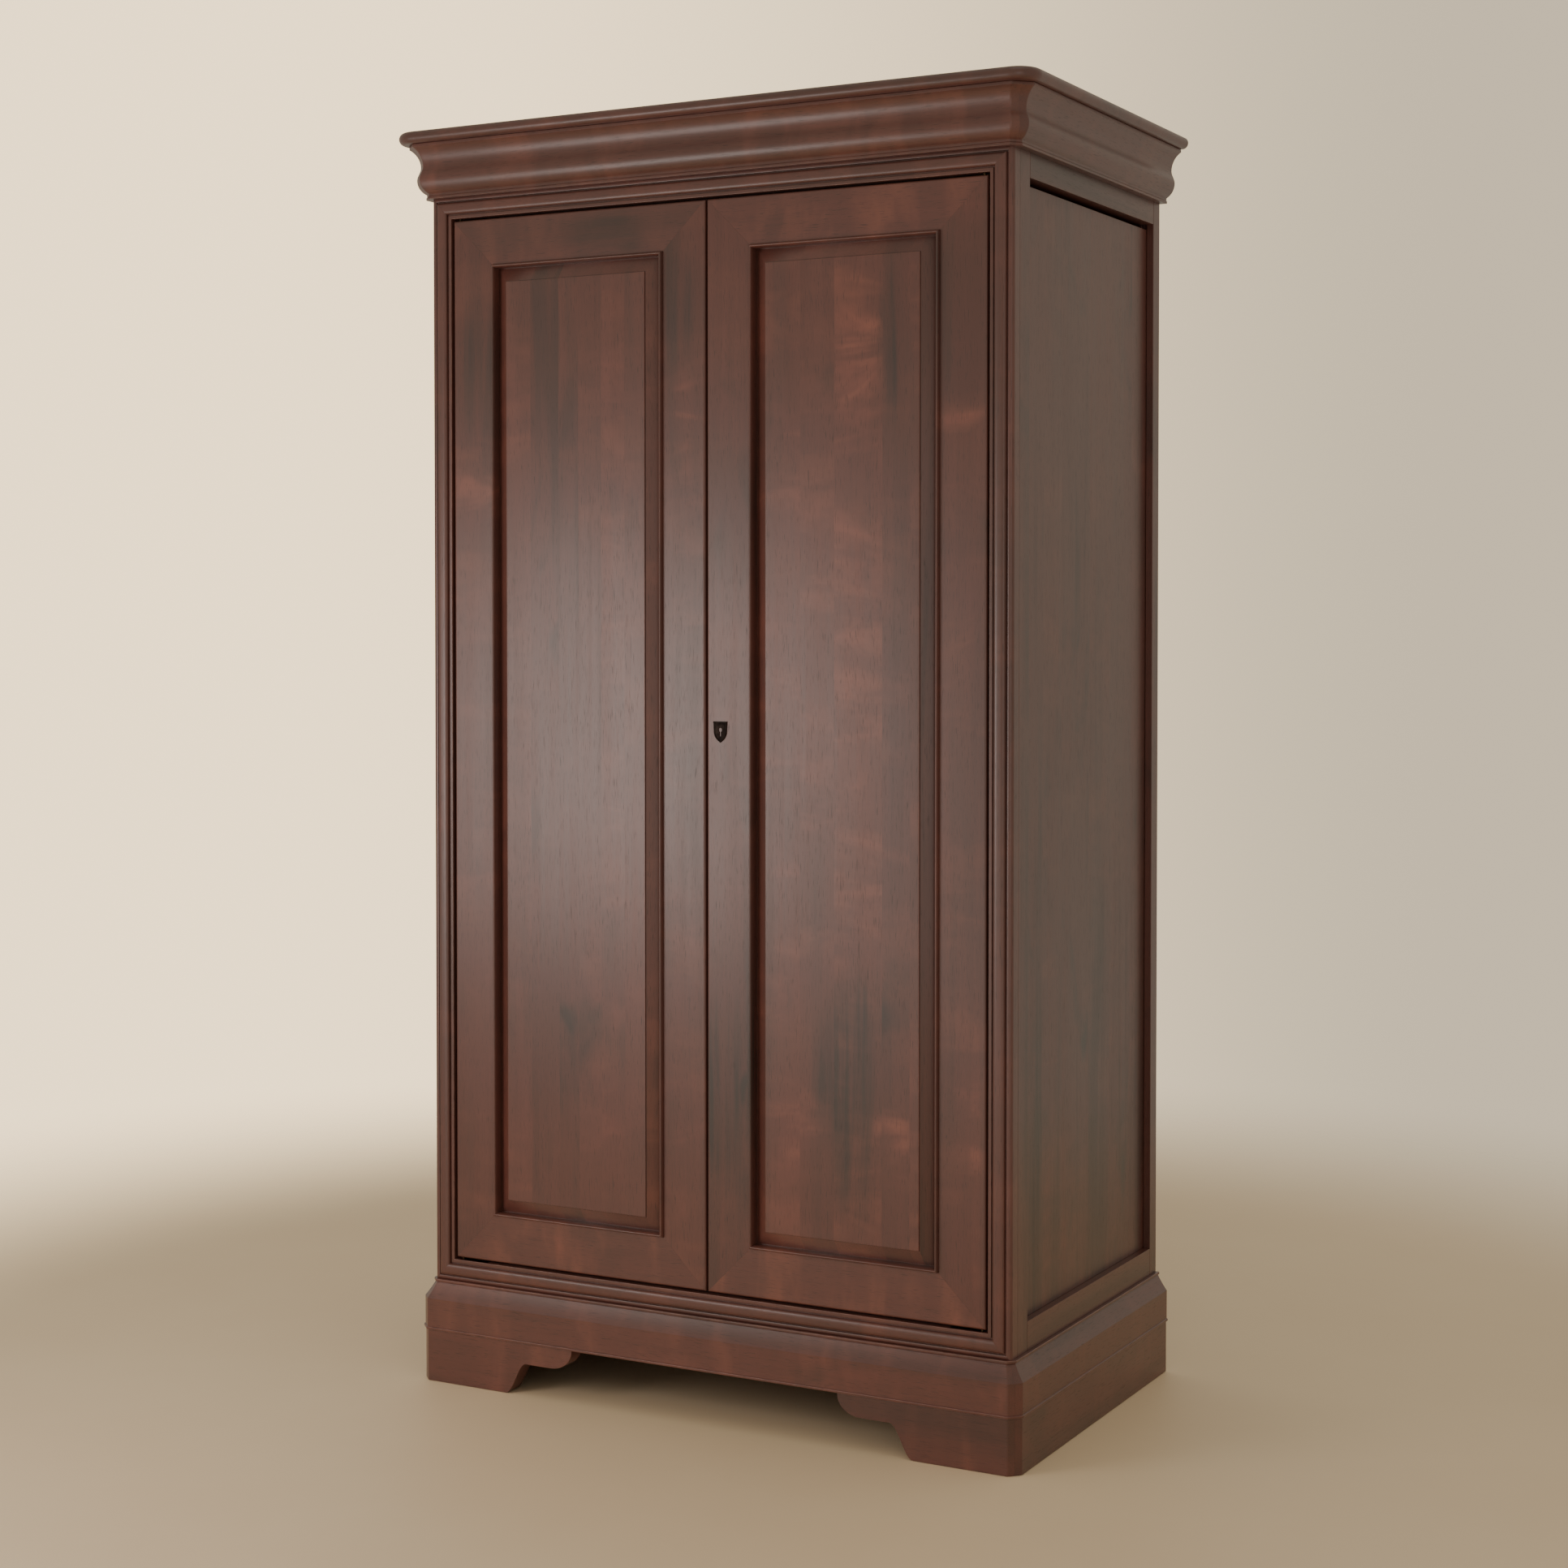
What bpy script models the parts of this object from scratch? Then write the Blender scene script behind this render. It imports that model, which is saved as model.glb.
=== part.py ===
"""A two-door wardrobe in the Louis Philippe manner.

A bracket-foot plinth and a base moulding carry a framed carcass. A moulded face frame holds two mitred
frame-and-panel doors on knife hinges, and a deep cornice with canted corners closes the top.

Metres, +Z up. The front faces -Y. The origin is on the floor, in the middle of the overall width and
depth. "Outset" is how far a moulding stands out from the carcass, on the front and on both sides.
"""

import math

import bmesh
import bpy
from mathutils import Matrix

# Overall sizes
HEIGHT = 2.000
CARCASS_WIDTH = 1.010
CARCASS_DEPTH = 0.592
CORNICE_OVERHANG = 0.048

# Fits
FIT_GAP = 0.0003
MITRE_GAP = 0.0002
WELD = 0.000001
OVERCUT = 0.002

# Stock
FRAME_THICKNESS = 0.022
SIDE_THICKNESS = 0.024
SHELF_THICKNESS = 0.018
BACK_THICKNESS = 0.009
BACK_INSET = 0.011

# Plinth
FOOT_HEIGHT = 0.0827
FOOT_OUTSET = 0.018
FOOT_INSIDE = 0.012
FOOT_FLOOR_END = 0.357
FOOT_STEP_OUTER = 0.319
FOOT_STEP_INNER = 0.272
FOOT_ARCH_END = 0.233
FOOT_STEP_HEIGHT = 0.050
FOOT_TIP = 0.0015

# Base moulding
BASE_BOTTOM = FOOT_HEIGHT + FIT_GAP
BASE_TOP = 0.162
BASE_OUTSET = 0.019
BASE_BEAD_OUTSET = 0.0208
BASE_BEAD_HEIGHT = 0.0035
BASE_BEAD_SLOPE = 0.001
BASE_FASCIA_TOP = 0.133
BASE_NECK_OUTSET = 0.003
BASE_LIP_OUTSET = 0.006
BASE_LIP_HEIGHT = 0.004
BASE_HOLLOW = 0.0006

# Cornice
CORNICE_BOTTOM = 1.896
BOARD_THICKNESS = 0.019
BOARD_BOTTOM = HEIGHT - BOARD_THICKNESS
CORNICE_TOP = BOARD_BOTTOM - FIT_GAP
CORNICE_LIP_OUTSET = 0.0125
CORNICE_LIP_HEIGHT = 0.0035
CORNICE_NECK_OUTSET = 0.0115
CORNICE_NECK_Z = 1.904
CORNICE_BULGE_OUTSET = 0.0254
CORNICE_BULGE_Z = 1.9275
CORNICE_BULGE_RADIUS = 0.026
CORNICE_BULGE_SWEEP = 60
CORNICE_COVE_OUTSET = 0.020
CORNICE_COVE_Z = 1.9475
CORNICE_COVE_RADIUS = 0.034
CORNICE_COVE_SWEEP = 57
CORNICE_FILLET_OUTSET = 0.036
CORNICE_FILLET_Z = 1.976

# Canted corners of the mouldings, in plan
CORNER_CANT = 0.008
CORNER_GROWTH = 0.45
BOARD_CORNER_RADIUS = 0.038
BOARD_CORNER_STEPS = 5

# Doors
DOOR_HALF_SPAN = 0.464
DOOR_BOTTOM = 0.2005
DOOR_TOP = 1.859
DOOR_SETBACK = 0.001
DOOR_GAP = 0.004
MEETING_GAP = 0.003
STILE_WIDTH = 0.080
TOP_RAIL_WIDTH = 0.0785
BOTTOM_RAIL_WIDTH = 0.080
BEAD_WIDTH = 0.0055
BEAD_PROUD = 0.0065
GROOVE_DEPTH = 0.009
GROOVE_FRONT = 0.0117
GROOVE_BACK = 0.0183
EDGE_ROUND = 0.0035
PANEL_TONGUE = 0.0085
PANEL_TONGUE_FRONT = 0.012
PANEL_BACK = 0.018
PANEL_MARGIN = 0.001
PANEL_BEVEL = 0.0235
PANEL_BEVEL_PROUD = 0.0035
PANEL_FIELD_SLOPE = 0.0004
PANEL_FIELD_PROUD = 0.0055

# Face frame
FACE_WIDTH = 0.037
FACE_EASE = 0.001
FACE_FILLET = 0.0052
FACE_QUIRK_DEPTH = 0.0025
FACE_QUIRK_SLOPE = 0.0003
FACE_TORUS_START = 0.0076
FACE_TORUS_WIDTH = 0.0188
FACE_TORUS_PROUD = 0.0045
FACE_TORUS_FULLNESS = 0.62
FACE_BEAD_START = 0.0280
FACE_BEAD_DROP = 0.0004
FACE_BEAD_SLOPE = 0.0006
FACE_BEAD_ROUND = 0.006

# Framed sides
SIDE_FRONT_STILE_END = 0.059
SIDE_REAR_STILE = 0.028
SIDE_RECESS_TOP = 1.860
SIDE_RECESS_BOTTOM = 0.205
SIDE_PANEL_RECESS = 0.012
SIDE_PANEL_THICKNESS = 0.008
SIDE_PANEL_TONGUE = 0.008
SIDE_PANEL_TOP_SLOT = 0.008

# Inside
INSIDE_CLEARANCE = 0.0005
BOTTOM_BOARD_TOP = 0.206
INNER_TOP_BOTTOM = 1.862
STOP_LIP_BOTTOM = 1.852
STOP_LIP_DEPTH = 0.022
STOP_RELIEF_LENGTH = 0.060
STOP_RELIEF_DEPTH = 0.005
SHELF_TOP = 1.730
SHELF_FRONT_INSET = 0.060
BEARER_HEIGHT = 0.060
BEARER_THICKNESS = 0.022
BEARER_FRONT_INSET = 0.070
BEARER_BACK_INSET = 0.020
RAIL_RADIUS = 0.0125
RAIL_DROP = 0.030
RAIL_CLEARANCE = 0.0004
RAIL_SEAT_WALL = 0.008

# Knife hinges
PIVOT_INSET = 0.008
LEAF_LENGTH = 0.050
LEAF_WIDTH = 0.012
LEAF_THICKNESS = 0.0025
PIN_RADIUS = 0.0023
PIN_HOLE_RADIUS = 0.0024
POCKET_CLEARANCE = 0.0003

# Lock
LOCK_Z = 1.055
KEYHOLE_FROM_EDGE = 0.0235
ESCUTCHEON_WIDTH = 0.024
ESCUTCHEON_HEIGHT = 0.032
ESCUTCHEON_THICKNESS = 0.0014
ESCUTCHEON_SHOULDER = 0.003
ESCUTCHEON_TAPER = 0.0008
ESCUTCHEON_CURVE = 2.6
KEYHOLE_RADIUS = 0.0032
KEYHOLE_SLOT = 0.0028
KEYHOLE_LENGTH = 0.013
KEYHOLE_REACH = 0.006
LOCK_CASE_WIDTH = 0.042
LOCK_CASE_HEIGHT = 0.064
LOCK_CASE_DEPTH = 0.014
LOCK_EDGE_INSET = 0.002
LOCK_BOLT_SETBACK = 0.001
BOLT_HEIGHT = 0.014
BOLT_THICKNESS = 0.006
BOLT_LENGTH = 0.030
BOLT_THROW = 0.009
BOLT_END_CLEARANCE = 0.001
BOLT_CLEARANCE = 0.0004
KEEPER_WIDTH = 0.020
KEEPER_HEIGHT = 0.044

# Flush bolts of the left door
FLUSH_BOLT_FROM_EDGE = 0.024
FLUSH_PLATE_WIDTH = 0.020
FLUSH_PLATE_DEPTH = 0.0115
FLUSH_PLATE_LENGTH = 0.072
FLUSH_PLATE_INSET = 0.030
FLUSH_ROD_RADIUS = 0.0035
FLUSH_ROD_DEPTH = 0.0070
FLUSH_ROD_CLEARANCE = 0.0004
FLUSH_THROW = 0.012
FLUSH_TIP_GAP = 0.001
FLUSH_KNOB_RADIUS = 0.002
FLUSH_KNOB_REACH = 0.010
FLUSH_ROD_TAIL = 0.030

# Places that follow from the sizes above
HALF_WIDTH = CARCASS_WIDTH / 2
FRONT = CORNICE_OVERHANG - (CARCASS_DEPTH + CORNICE_OVERHANG) / 2
BACK = FRONT + CARCASS_DEPTH
DOOR_FRONT = FRONT + DOOR_SETBACK
DOOR_BACK = DOOR_FRONT + FRAME_THICKNESS
OPENING_HALF = DOOR_HALF_SPAN + DOOR_GAP
OPENING_BOTTOM = DOOR_BOTTOM - DOOR_GAP
OPENING_TOP = DOOR_TOP + DOOR_GAP
FACE_BOTTOM = OPENING_BOTTOM - FACE_WIDTH
FACE_TOP = OPENING_TOP + FACE_WIDTH
INSIDE_HALF = HALF_WIDTH - SIDE_THICKNESS
INSIDE_FRONT = DOOR_BACK + INSIDE_CLEARANCE
INSIDE_BACK = BACK - BACK_INSET - BACK_THICKNESS
BEHIND_FACE = FRONT + FRAME_THICKNESS + FIT_GAP


# Materials


def material(name, colour, roughness, metallic=0.0):
    made = bpy.data.materials.new(name)
    made.use_nodes = True
    made.diffuse_color = (*colour, 1.0)
    shader = made.node_tree.nodes["Principled BSDF"]
    shader.inputs["Base Color"].default_value = (*colour, 1.0)
    shader.inputs["Roughness"].default_value = roughness
    shader.inputs["Metallic"].default_value = metallic
    return made


# Meshes


def arc(centre, radii, start, end, steps):
    """Points on an ellipse from start to end, in degrees, with both ends."""
    points = []
    for i in range(steps + 1):
        turn = math.radians(start + (end - start) * i / steps)
        points.append((centre[0] + radii[0] * math.cos(turn), centre[1] + radii[1] * math.sin(turn)))
    return points


def sway(start, end, steps):
    """Points on a cosine S-curve whose first coordinate eases from start to end."""
    points = []
    for i in range(steps + 1):
        share = i / steps
        eased = (1 - math.cos(math.pi * share)) / 2
        points.append((start[0] + (end[0] - start[0]) * eased, start[1] + (end[1] - start[1]) * share))
    return points


def hollow(start, end, depth, steps):
    """Points from start to end along a shallow hollow, which sinks to the left of its chord."""
    run = (end[0] - start[0], end[1] - start[1])
    length = math.hypot(*run)
    points = []
    for i in range(steps + 1):
        share = i / steps
        sink = 4 * depth * share * (1 - share) / length
        points.append((start[0] + run[0] * share - run[1] * sink, start[1] + run[1] * share + run[0] * sink))
    return points


def lofted(name, rings):
    """A closed mesh through rings of equal length, capped at both ends."""
    form = bmesh.new()
    loops = [[form.verts.new(point) for point in ring] for ring in rings]
    count = len(loops[0])
    for near, far in zip(loops, loops[1:]):
        for i in range(count):
            j = (i + 1) % count
            form.faces.new((near[i], near[j], far[j], far[i]))
    form.faces.new(loops[0])
    form.faces.new(loops[-1])
    bmesh.ops.remove_doubles(form, verts=form.verts, dist=WELD)
    bmesh.ops.recalc_face_normals(form, faces=form.faces)
    mesh = bpy.data.meshes.new(name)
    form.to_mesh(mesh)
    form.free()
    return mesh


def add_object(name, mesh, finish, parent=None):
    """Adds a mesh whose points are in world metres, and hangs it on the parent's axis if it moves."""
    obj = bpy.data.objects.new(name, mesh)
    bpy.context.scene.collection.objects.link(obj)
    if finish:
        mesh.materials.append(finish)
    if parent:
        mesh.transform(Matrix.Translation(-parent.location))
        obj.parent = parent
    return obj


def add_axis(name, place):
    """An empty that marks a joint's axis."""
    empty = bpy.data.objects.new(name, None)
    empty.location = place
    empty.empty_display_size = 0.05
    bpy.context.scene.collection.objects.link(empty)
    return empty


def smooth(obj, angle=40):
    obj.data.shade_smooth()
    obj.data.set_sharp_from_angle(angle=math.radians(angle))
    return obj


def prism(name, outline, axis, low, high, finish, parent=None):
    """A flat outline pushed along x, y or z. Its two coordinates are the other two axes, in order."""
    def place(point, along):
        coordinates = list(point)
        coordinates.insert("xyz".index(axis), along)
        return coordinates
    rings = [[place(point, along) for point in outline] for along in (low, high)]
    return add_object(name, lofted(name, rings), finish, parent)


def board(name, low, high, finish, parent=None):
    """A rectangular board between two opposite corners."""
    outline = [(low[0], low[1]), (high[0], low[1]), (high[0], high[1]), (low[0], high[1])]
    return prism(name, outline, "z", low[2], high[2], finish, parent)


def cut(obj, cutter, operation="DIFFERENCE"):
    cutter.hide_render = True
    cutter.display_type = "WIRE"
    modifier = obj.modifiers.new(operation.lower() + "_" + cutter.name, "BOOLEAN")
    modifier.operation = operation
    modifier.solver = "EXACT"
    modifier.object = cutter


def cutter_box(name, low, high):
    return board(name, low, high, None)


def cylinder_outline(centre, radius, steps=20):
    return arc(centre, (radius, radius), 0, 360 * (steps - 1) / steps, steps - 1)


# Mouldings that follow the carcass round its front corners


def corner_cant(outset):
    """A moulding's corner is cut off wider the further out it stands. Its inner face stays square."""
    return CORNER_CANT + CORNER_GROWTH * outset if outset > FIT_GAP else 0.0


def corner_ring(profile, side, share, run):
    """A section on the canted corner: share 0 meets the front run, 1 the side run, 0.5 is the mitre."""
    ring = []
    for outset, z in profile:
        cant = corner_cant(outset)
        x = HALF_WIDTH + outset - cant * (1 - share)
        y = FRONT - outset + cant * share
        at_mitre = share == 0.5 or cant == 0.0
        if at_mitre and run == "front":
            x -= MITRE_GAP
        if at_mitre and run == "side":
            y += MITRE_GAP
        ring.append((side * x, y, z))
    return ring


def front_run(name, profile, finish):
    """The front length of a moulding, from mitre to mitre."""
    places = ((-1, 0.5), (-1, 0.0), (1, 0.0), (1, 0.5))
    rings = [corner_ring(profile, side, share, "front") for side, share in places]
    return smooth(add_object(name, lofted(name, rings), finish))


def side_run(name, profile, side, finish):
    """The side length of a moulding, from its mitre to the back of the carcass."""
    rings = [corner_ring(profile, side, share, "side") for share in (0.5, 1.0)]
    rings.append([(side * (HALF_WIDTH + outset), BACK, z) for outset, z in profile])
    return smooth(add_object(name, lofted(name, rings), finish))


def cornice_outer():
    points = [(CORNICE_LIP_OUTSET, CORNICE_BOTTOM)]
    points.append((CORNICE_LIP_OUTSET, CORNICE_BOTTOM + CORNICE_LIP_HEIGHT))
    points.append((CORNICE_NECK_OUTSET, CORNICE_NECK_Z))
    bulge = (CORNICE_BULGE_RADIUS, CORNICE_BULGE_RADIUS)
    centre = (CORNICE_BULGE_OUTSET - CORNICE_BULGE_RADIUS, CORNICE_BULGE_Z)
    points += arc(centre, bulge, -CORNICE_BULGE_SWEEP, 0, 5)
    waist = (CORNICE_COVE_OUTSET, CORNICE_COVE_Z)
    points += sway((CORNICE_BULGE_OUTSET, CORNICE_BULGE_Z), waist, 4)[1:]
    cove = (-CORNICE_COVE_RADIUS, CORNICE_COVE_RADIUS)
    centre = (CORNICE_COVE_OUTSET + CORNICE_COVE_RADIUS, CORNICE_COVE_Z)
    points += arc(centre, cove, 0, CORNICE_COVE_SWEEP, 5)[1:]
    points.append((CORNICE_FILLET_OUTSET, CORNICE_FILLET_Z))
    points.append((CORNICE_FILLET_OUTSET, CORNICE_TOP))
    return points


def base_outer():
    points = [(BASE_BEAD_OUTSET, BASE_BOTTOM)]
    points.append((BASE_BEAD_OUTSET, BASE_BOTTOM + BASE_BEAD_HEIGHT))
    points.append((BASE_OUTSET, BASE_BOTTOM + BASE_BEAD_HEIGHT + BASE_BEAD_SLOPE))
    lip_bottom = BASE_TOP - BASE_LIP_HEIGHT
    points += hollow((BASE_OUTSET, BASE_FASCIA_TOP), (BASE_NECK_OUTSET, lip_bottom), BASE_HOLLOW, 6)
    points.append((BASE_LIP_OUTSET, lip_bottom))
    points.append((BASE_LIP_OUTSET, BASE_TOP))
    return points


def build_base_moulding(finish):
    inner = -FRAME_THICKNESS + FIT_GAP
    under_frame = FACE_BOTTOM - FIT_GAP
    foot = [(inner, under_frame), (inner, BASE_BOTTOM)]
    front = [(FIT_GAP, BASE_TOP), (FIT_GAP, under_frame)] + foot + base_outer()
    front_run("base_moulding_front", front, finish)
    side = [(FIT_GAP, BASE_TOP), (FIT_GAP, BASE_BOTTOM)] + base_outer()
    side_run("base_moulding_left", side, -1, finish)
    side_run("base_moulding_right", side, 1, finish)


def build_cornice(finish):
    inner = -FRAME_THICKNESS + FIT_GAP
    above_frame = FACE_TOP + FIT_GAP
    head = [(inner, CORNICE_TOP), (inner, above_frame), (FIT_GAP, above_frame)]
    front = head + [(FIT_GAP, CORNICE_BOTTOM)] + cornice_outer()
    front_run("cornice_front", front, finish)
    side = [(FIT_GAP, CORNICE_TOP), (FIT_GAP, CORNICE_BOTTOM)] + cornice_outer()
    side_run("cornice_left", side, -1, finish)
    side_run("cornice_right", side, 1, finish)


def board_ring(outset, z):
    """The top board's outline at one level: rounded in front, square at the back."""
    radius = BOARD_CORNER_RADIUS - CORNICE_OVERHANG + outset
    centre = (HALF_WIDTH + outset - radius, FRONT - outset + radius)
    corner = arc(centre, (radius, radius), -90, 0, BOARD_CORNER_STEPS)
    ring = [(-HALF_WIDTH - outset, BACK, z)]
    ring += [(-x, y, z) for x, y in reversed(corner)]
    ring += [(x, y, z) for x, y in corner]
    ring.append((HALF_WIDTH + outset, BACK, z))
    return ring


def build_top_board(finish):
    nose = BOARD_THICKNESS / 2
    middle = (CORNICE_OVERHANG - nose, BOARD_BOTTOM + nose)
    rings = [board_ring(outset, z) for outset, z in arc(middle, (nose, nose), -90, 90, 8)]
    smooth(add_object("cornice_top_board", lofted("cornice_top_board", rings), finish))


# Plinth


def foot_underside():
    """The scrolled lower edge of a bracket foot, as (distance from the middle, height)."""
    points = [(FOOT_FLOOR_END, 0.0)]
    for x, z in arc((0, 0), (1, 1), 180, 0, 8)[1:]:
        share = (1 + x) / 2
        rise = (1 - math.cos(math.pi * share)) / 2
        distance = FOOT_FLOOR_END + (FOOT_STEP_OUTER - FOOT_FLOOR_END) * share
        points.append((distance, FOOT_STEP_HEIGHT * rise))
    quarter = (FOOT_ARCH_END - FOOT_STEP_INNER, FOOT_STEP_HEIGHT - FOOT_HEIGHT + FOOT_TIP)
    points += arc((FOOT_STEP_INNER, FOOT_HEIGHT - FOOT_TIP), quarter, 90, 0, 6)
    return points


def foot_section(low):
    return [(FOOT_OUTSET, low), (FOOT_OUTSET, FOOT_HEIGHT), (-FOOT_INSIDE, FOOT_HEIGHT), (-FOOT_INSIDE, low)]


def build_feet(finish):
    for side, name in ((-1, "bracket_foot_left"), (1, "bracket_foot_right")):
        rings = [corner_ring(foot_section(0.0), side, share, "front") for share in (0.5, 0.0)]
        for distance, low in foot_underside():
            rings.append([(side * distance, FRONT - outset, z) for outset, z in foot_section(low)])
        smooth(add_object(name, lofted(name, rings), finish))


def build_plinth_sides(finish):
    section = foot_section(0.0)
    side_run("plinth_side_left", section, -1, finish)
    side_run("plinth_side_right", section, 1, finish)
    end = HALF_WIDTH - FOOT_INSIDE - FIT_GAP
    low = (-end, BACK - 2 * FRAME_THICKNESS, 0.0)
    board("plinth_back_rail", low, (end, BACK - FRAME_THICKNESS, FOOT_HEIGHT), finish)


# Face frame


def face_profile():
    """The face frame's section, as (distance from the opening, proud of the front)."""
    rounding = (FACE_BEAD_ROUND, FACE_BEAD_ROUND)
    points = [(0.0, -FRAME_THICKNESS), (0.0, -FACE_EASE), (FACE_EASE, 0.0)]
    points += [(FACE_FILLET, 0.0), (FACE_FILLET + FACE_QUIRK_SLOPE, -FACE_QUIRK_DEPTH)]
    for cosine, sine in arc((0.0, 0.0), (-1.0, 1.0), 0, 180, 10):
        across = math.copysign(abs(cosine) ** FACE_TORUS_FULLNESS, cosine)
        rise = max(sine, 0.0) ** FACE_TORUS_FULLNESS
        t = FACE_TORUS_START + FACE_TORUS_WIDTH / 2 * (1 + across)
        points.append((t, (FACE_TORUS_PROUD + FACE_QUIRK_DEPTH) * rise - FACE_QUIRK_DEPTH))
    points += [(FACE_BEAD_START, -FACE_QUIRK_DEPTH), (FACE_BEAD_START + FACE_BEAD_SLOPE, -FACE_BEAD_DROP)]
    points += arc((FACE_WIDTH - FACE_BEAD_ROUND, -FACE_BEAD_ROUND), rounding, 90, 0, 4)
    points.append((FACE_WIDTH, -FRAME_THICKNESS))
    return points


def build_face_frame(finish):
    profile = face_profile()
    for side, name in ((-1, "face_frame_left_stile"), (1, "face_frame_right_stile")):
        low = [(side * (OPENING_HALF + t), FRONT - h, OPENING_BOTTOM - t + MITRE_GAP) for t, h in profile]
        high = [(side * (OPENING_HALF + t), FRONT - h, OPENING_TOP + t - MITRE_GAP) for t, h in profile]
        smooth(add_object(name, lofted(name, [low, high]), finish))
    rails = (("face_frame_bottom_rail", OPENING_BOTTOM, -1), ("face_frame_top_rail", OPENING_TOP, 1))
    made = []
    for name, edge, way in rails:
        left = [(-OPENING_HALF - t + MITRE_GAP, FRONT - h, edge + way * t) for t, h in profile]
        right = [(OPENING_HALF + t - MITRE_GAP, FRONT - h, edge + way * t) for t, h in profile]
        made.append(smooth(add_object(name, lofted(name, [left, right]), finish)))
    return made


# Framed sides


def build_side(side, name, finish, panel_finish):
    outer = side * HALF_WIDTH
    inner = side * INSIDE_HALF
    groove_outer = side * (HALF_WIDTH - SIDE_PANEL_RECESS + FIT_GAP)
    groove_inner = side * (HALF_WIDTH - SIDE_PANEL_RECESS - SIDE_PANEL_THICKNESS - FIT_GAP)
    groove = SIDE_PANEL_TONGUE + 2 * FIT_GAP
    front_end = FRONT + SIDE_FRONT_STILE_END
    rear_start = BACK - SIDE_REAR_STILE

    def stile(stile_name, butt, edge, way):
        outline = [(outer, butt), (outer, edge), (groove_outer, edge), (groove_outer, edge - way * groove)]
        outline += [(groove_inner, edge - way * groove), (groove_inner, edge), (inner, edge), (inner, butt)]
        prism(stile_name, outline, "z", BASE_BOTTOM, CORNICE_TOP, finish)

    stile(name + "_front_stile", BEHIND_FACE, front_end, 1)
    stile(name + "_rear_stile", BACK, rear_start, -1)
    y_low = front_end + FIT_GAP
    y_high = rear_start - FIT_GAP
    corners = ((inner, y_low, SIDE_RECESS_TOP), (outer, y_high, CORNICE_TOP))
    board(name + "_top_rail", *corners, finish)
    bottom = [(outer, BASE_BOTTOM), (outer, SIDE_RECESS_BOTTOM), (groove_outer, SIDE_RECESS_BOTTOM)]
    bottom += [(groove_outer, SIDE_RECESS_BOTTOM - groove), (groove_inner, SIDE_RECESS_BOTTOM - groove)]
    bottom += [(groove_inner, SIDE_RECESS_BOTTOM), (inner, SIDE_RECESS_BOTTOM), (inner, BASE_BOTTOM)]
    prism(name + "_bottom_rail", bottom, "y", y_low, y_high, finish)
    face = side * (HALF_WIDTH - SIDE_PANEL_RECESS)
    back = side * (HALF_WIDTH - SIDE_PANEL_RECESS - SIDE_PANEL_THICKNESS)
    low = (back, front_end - SIDE_PANEL_TONGUE, SIDE_RECESS_BOTTOM - SIDE_PANEL_TONGUE)
    high = (face, rear_start + SIDE_PANEL_TONGUE, SIDE_RECESS_TOP - SIDE_PANEL_TOP_SLOT)
    board(name + "_panel", low, high, panel_finish)


# Doors


def member_profile(width):
    """A door member's section, as (distance from the sight edge, proud of the door's face)."""
    points = [(0.0, -FRAME_THICKNESS), (0.0, -GROOVE_BACK), (GROOVE_DEPTH, -GROOVE_BACK)]
    points += [(GROOVE_DEPTH, -GROOVE_FRONT), (0.0, -GROOVE_FRONT)]
    points += arc((BEAD_WIDTH / 2, 0.0), (-BEAD_WIDTH / 2, BEAD_PROUD), 0, 180, 6)
    rounding = (EDGE_ROUND, EDGE_ROUND)
    points += arc((width - EDGE_ROUND, -EDGE_ROUND), rounding, 90, 0, 3)
    points.append((width, -FRAME_THICKNESS))
    return points


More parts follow.
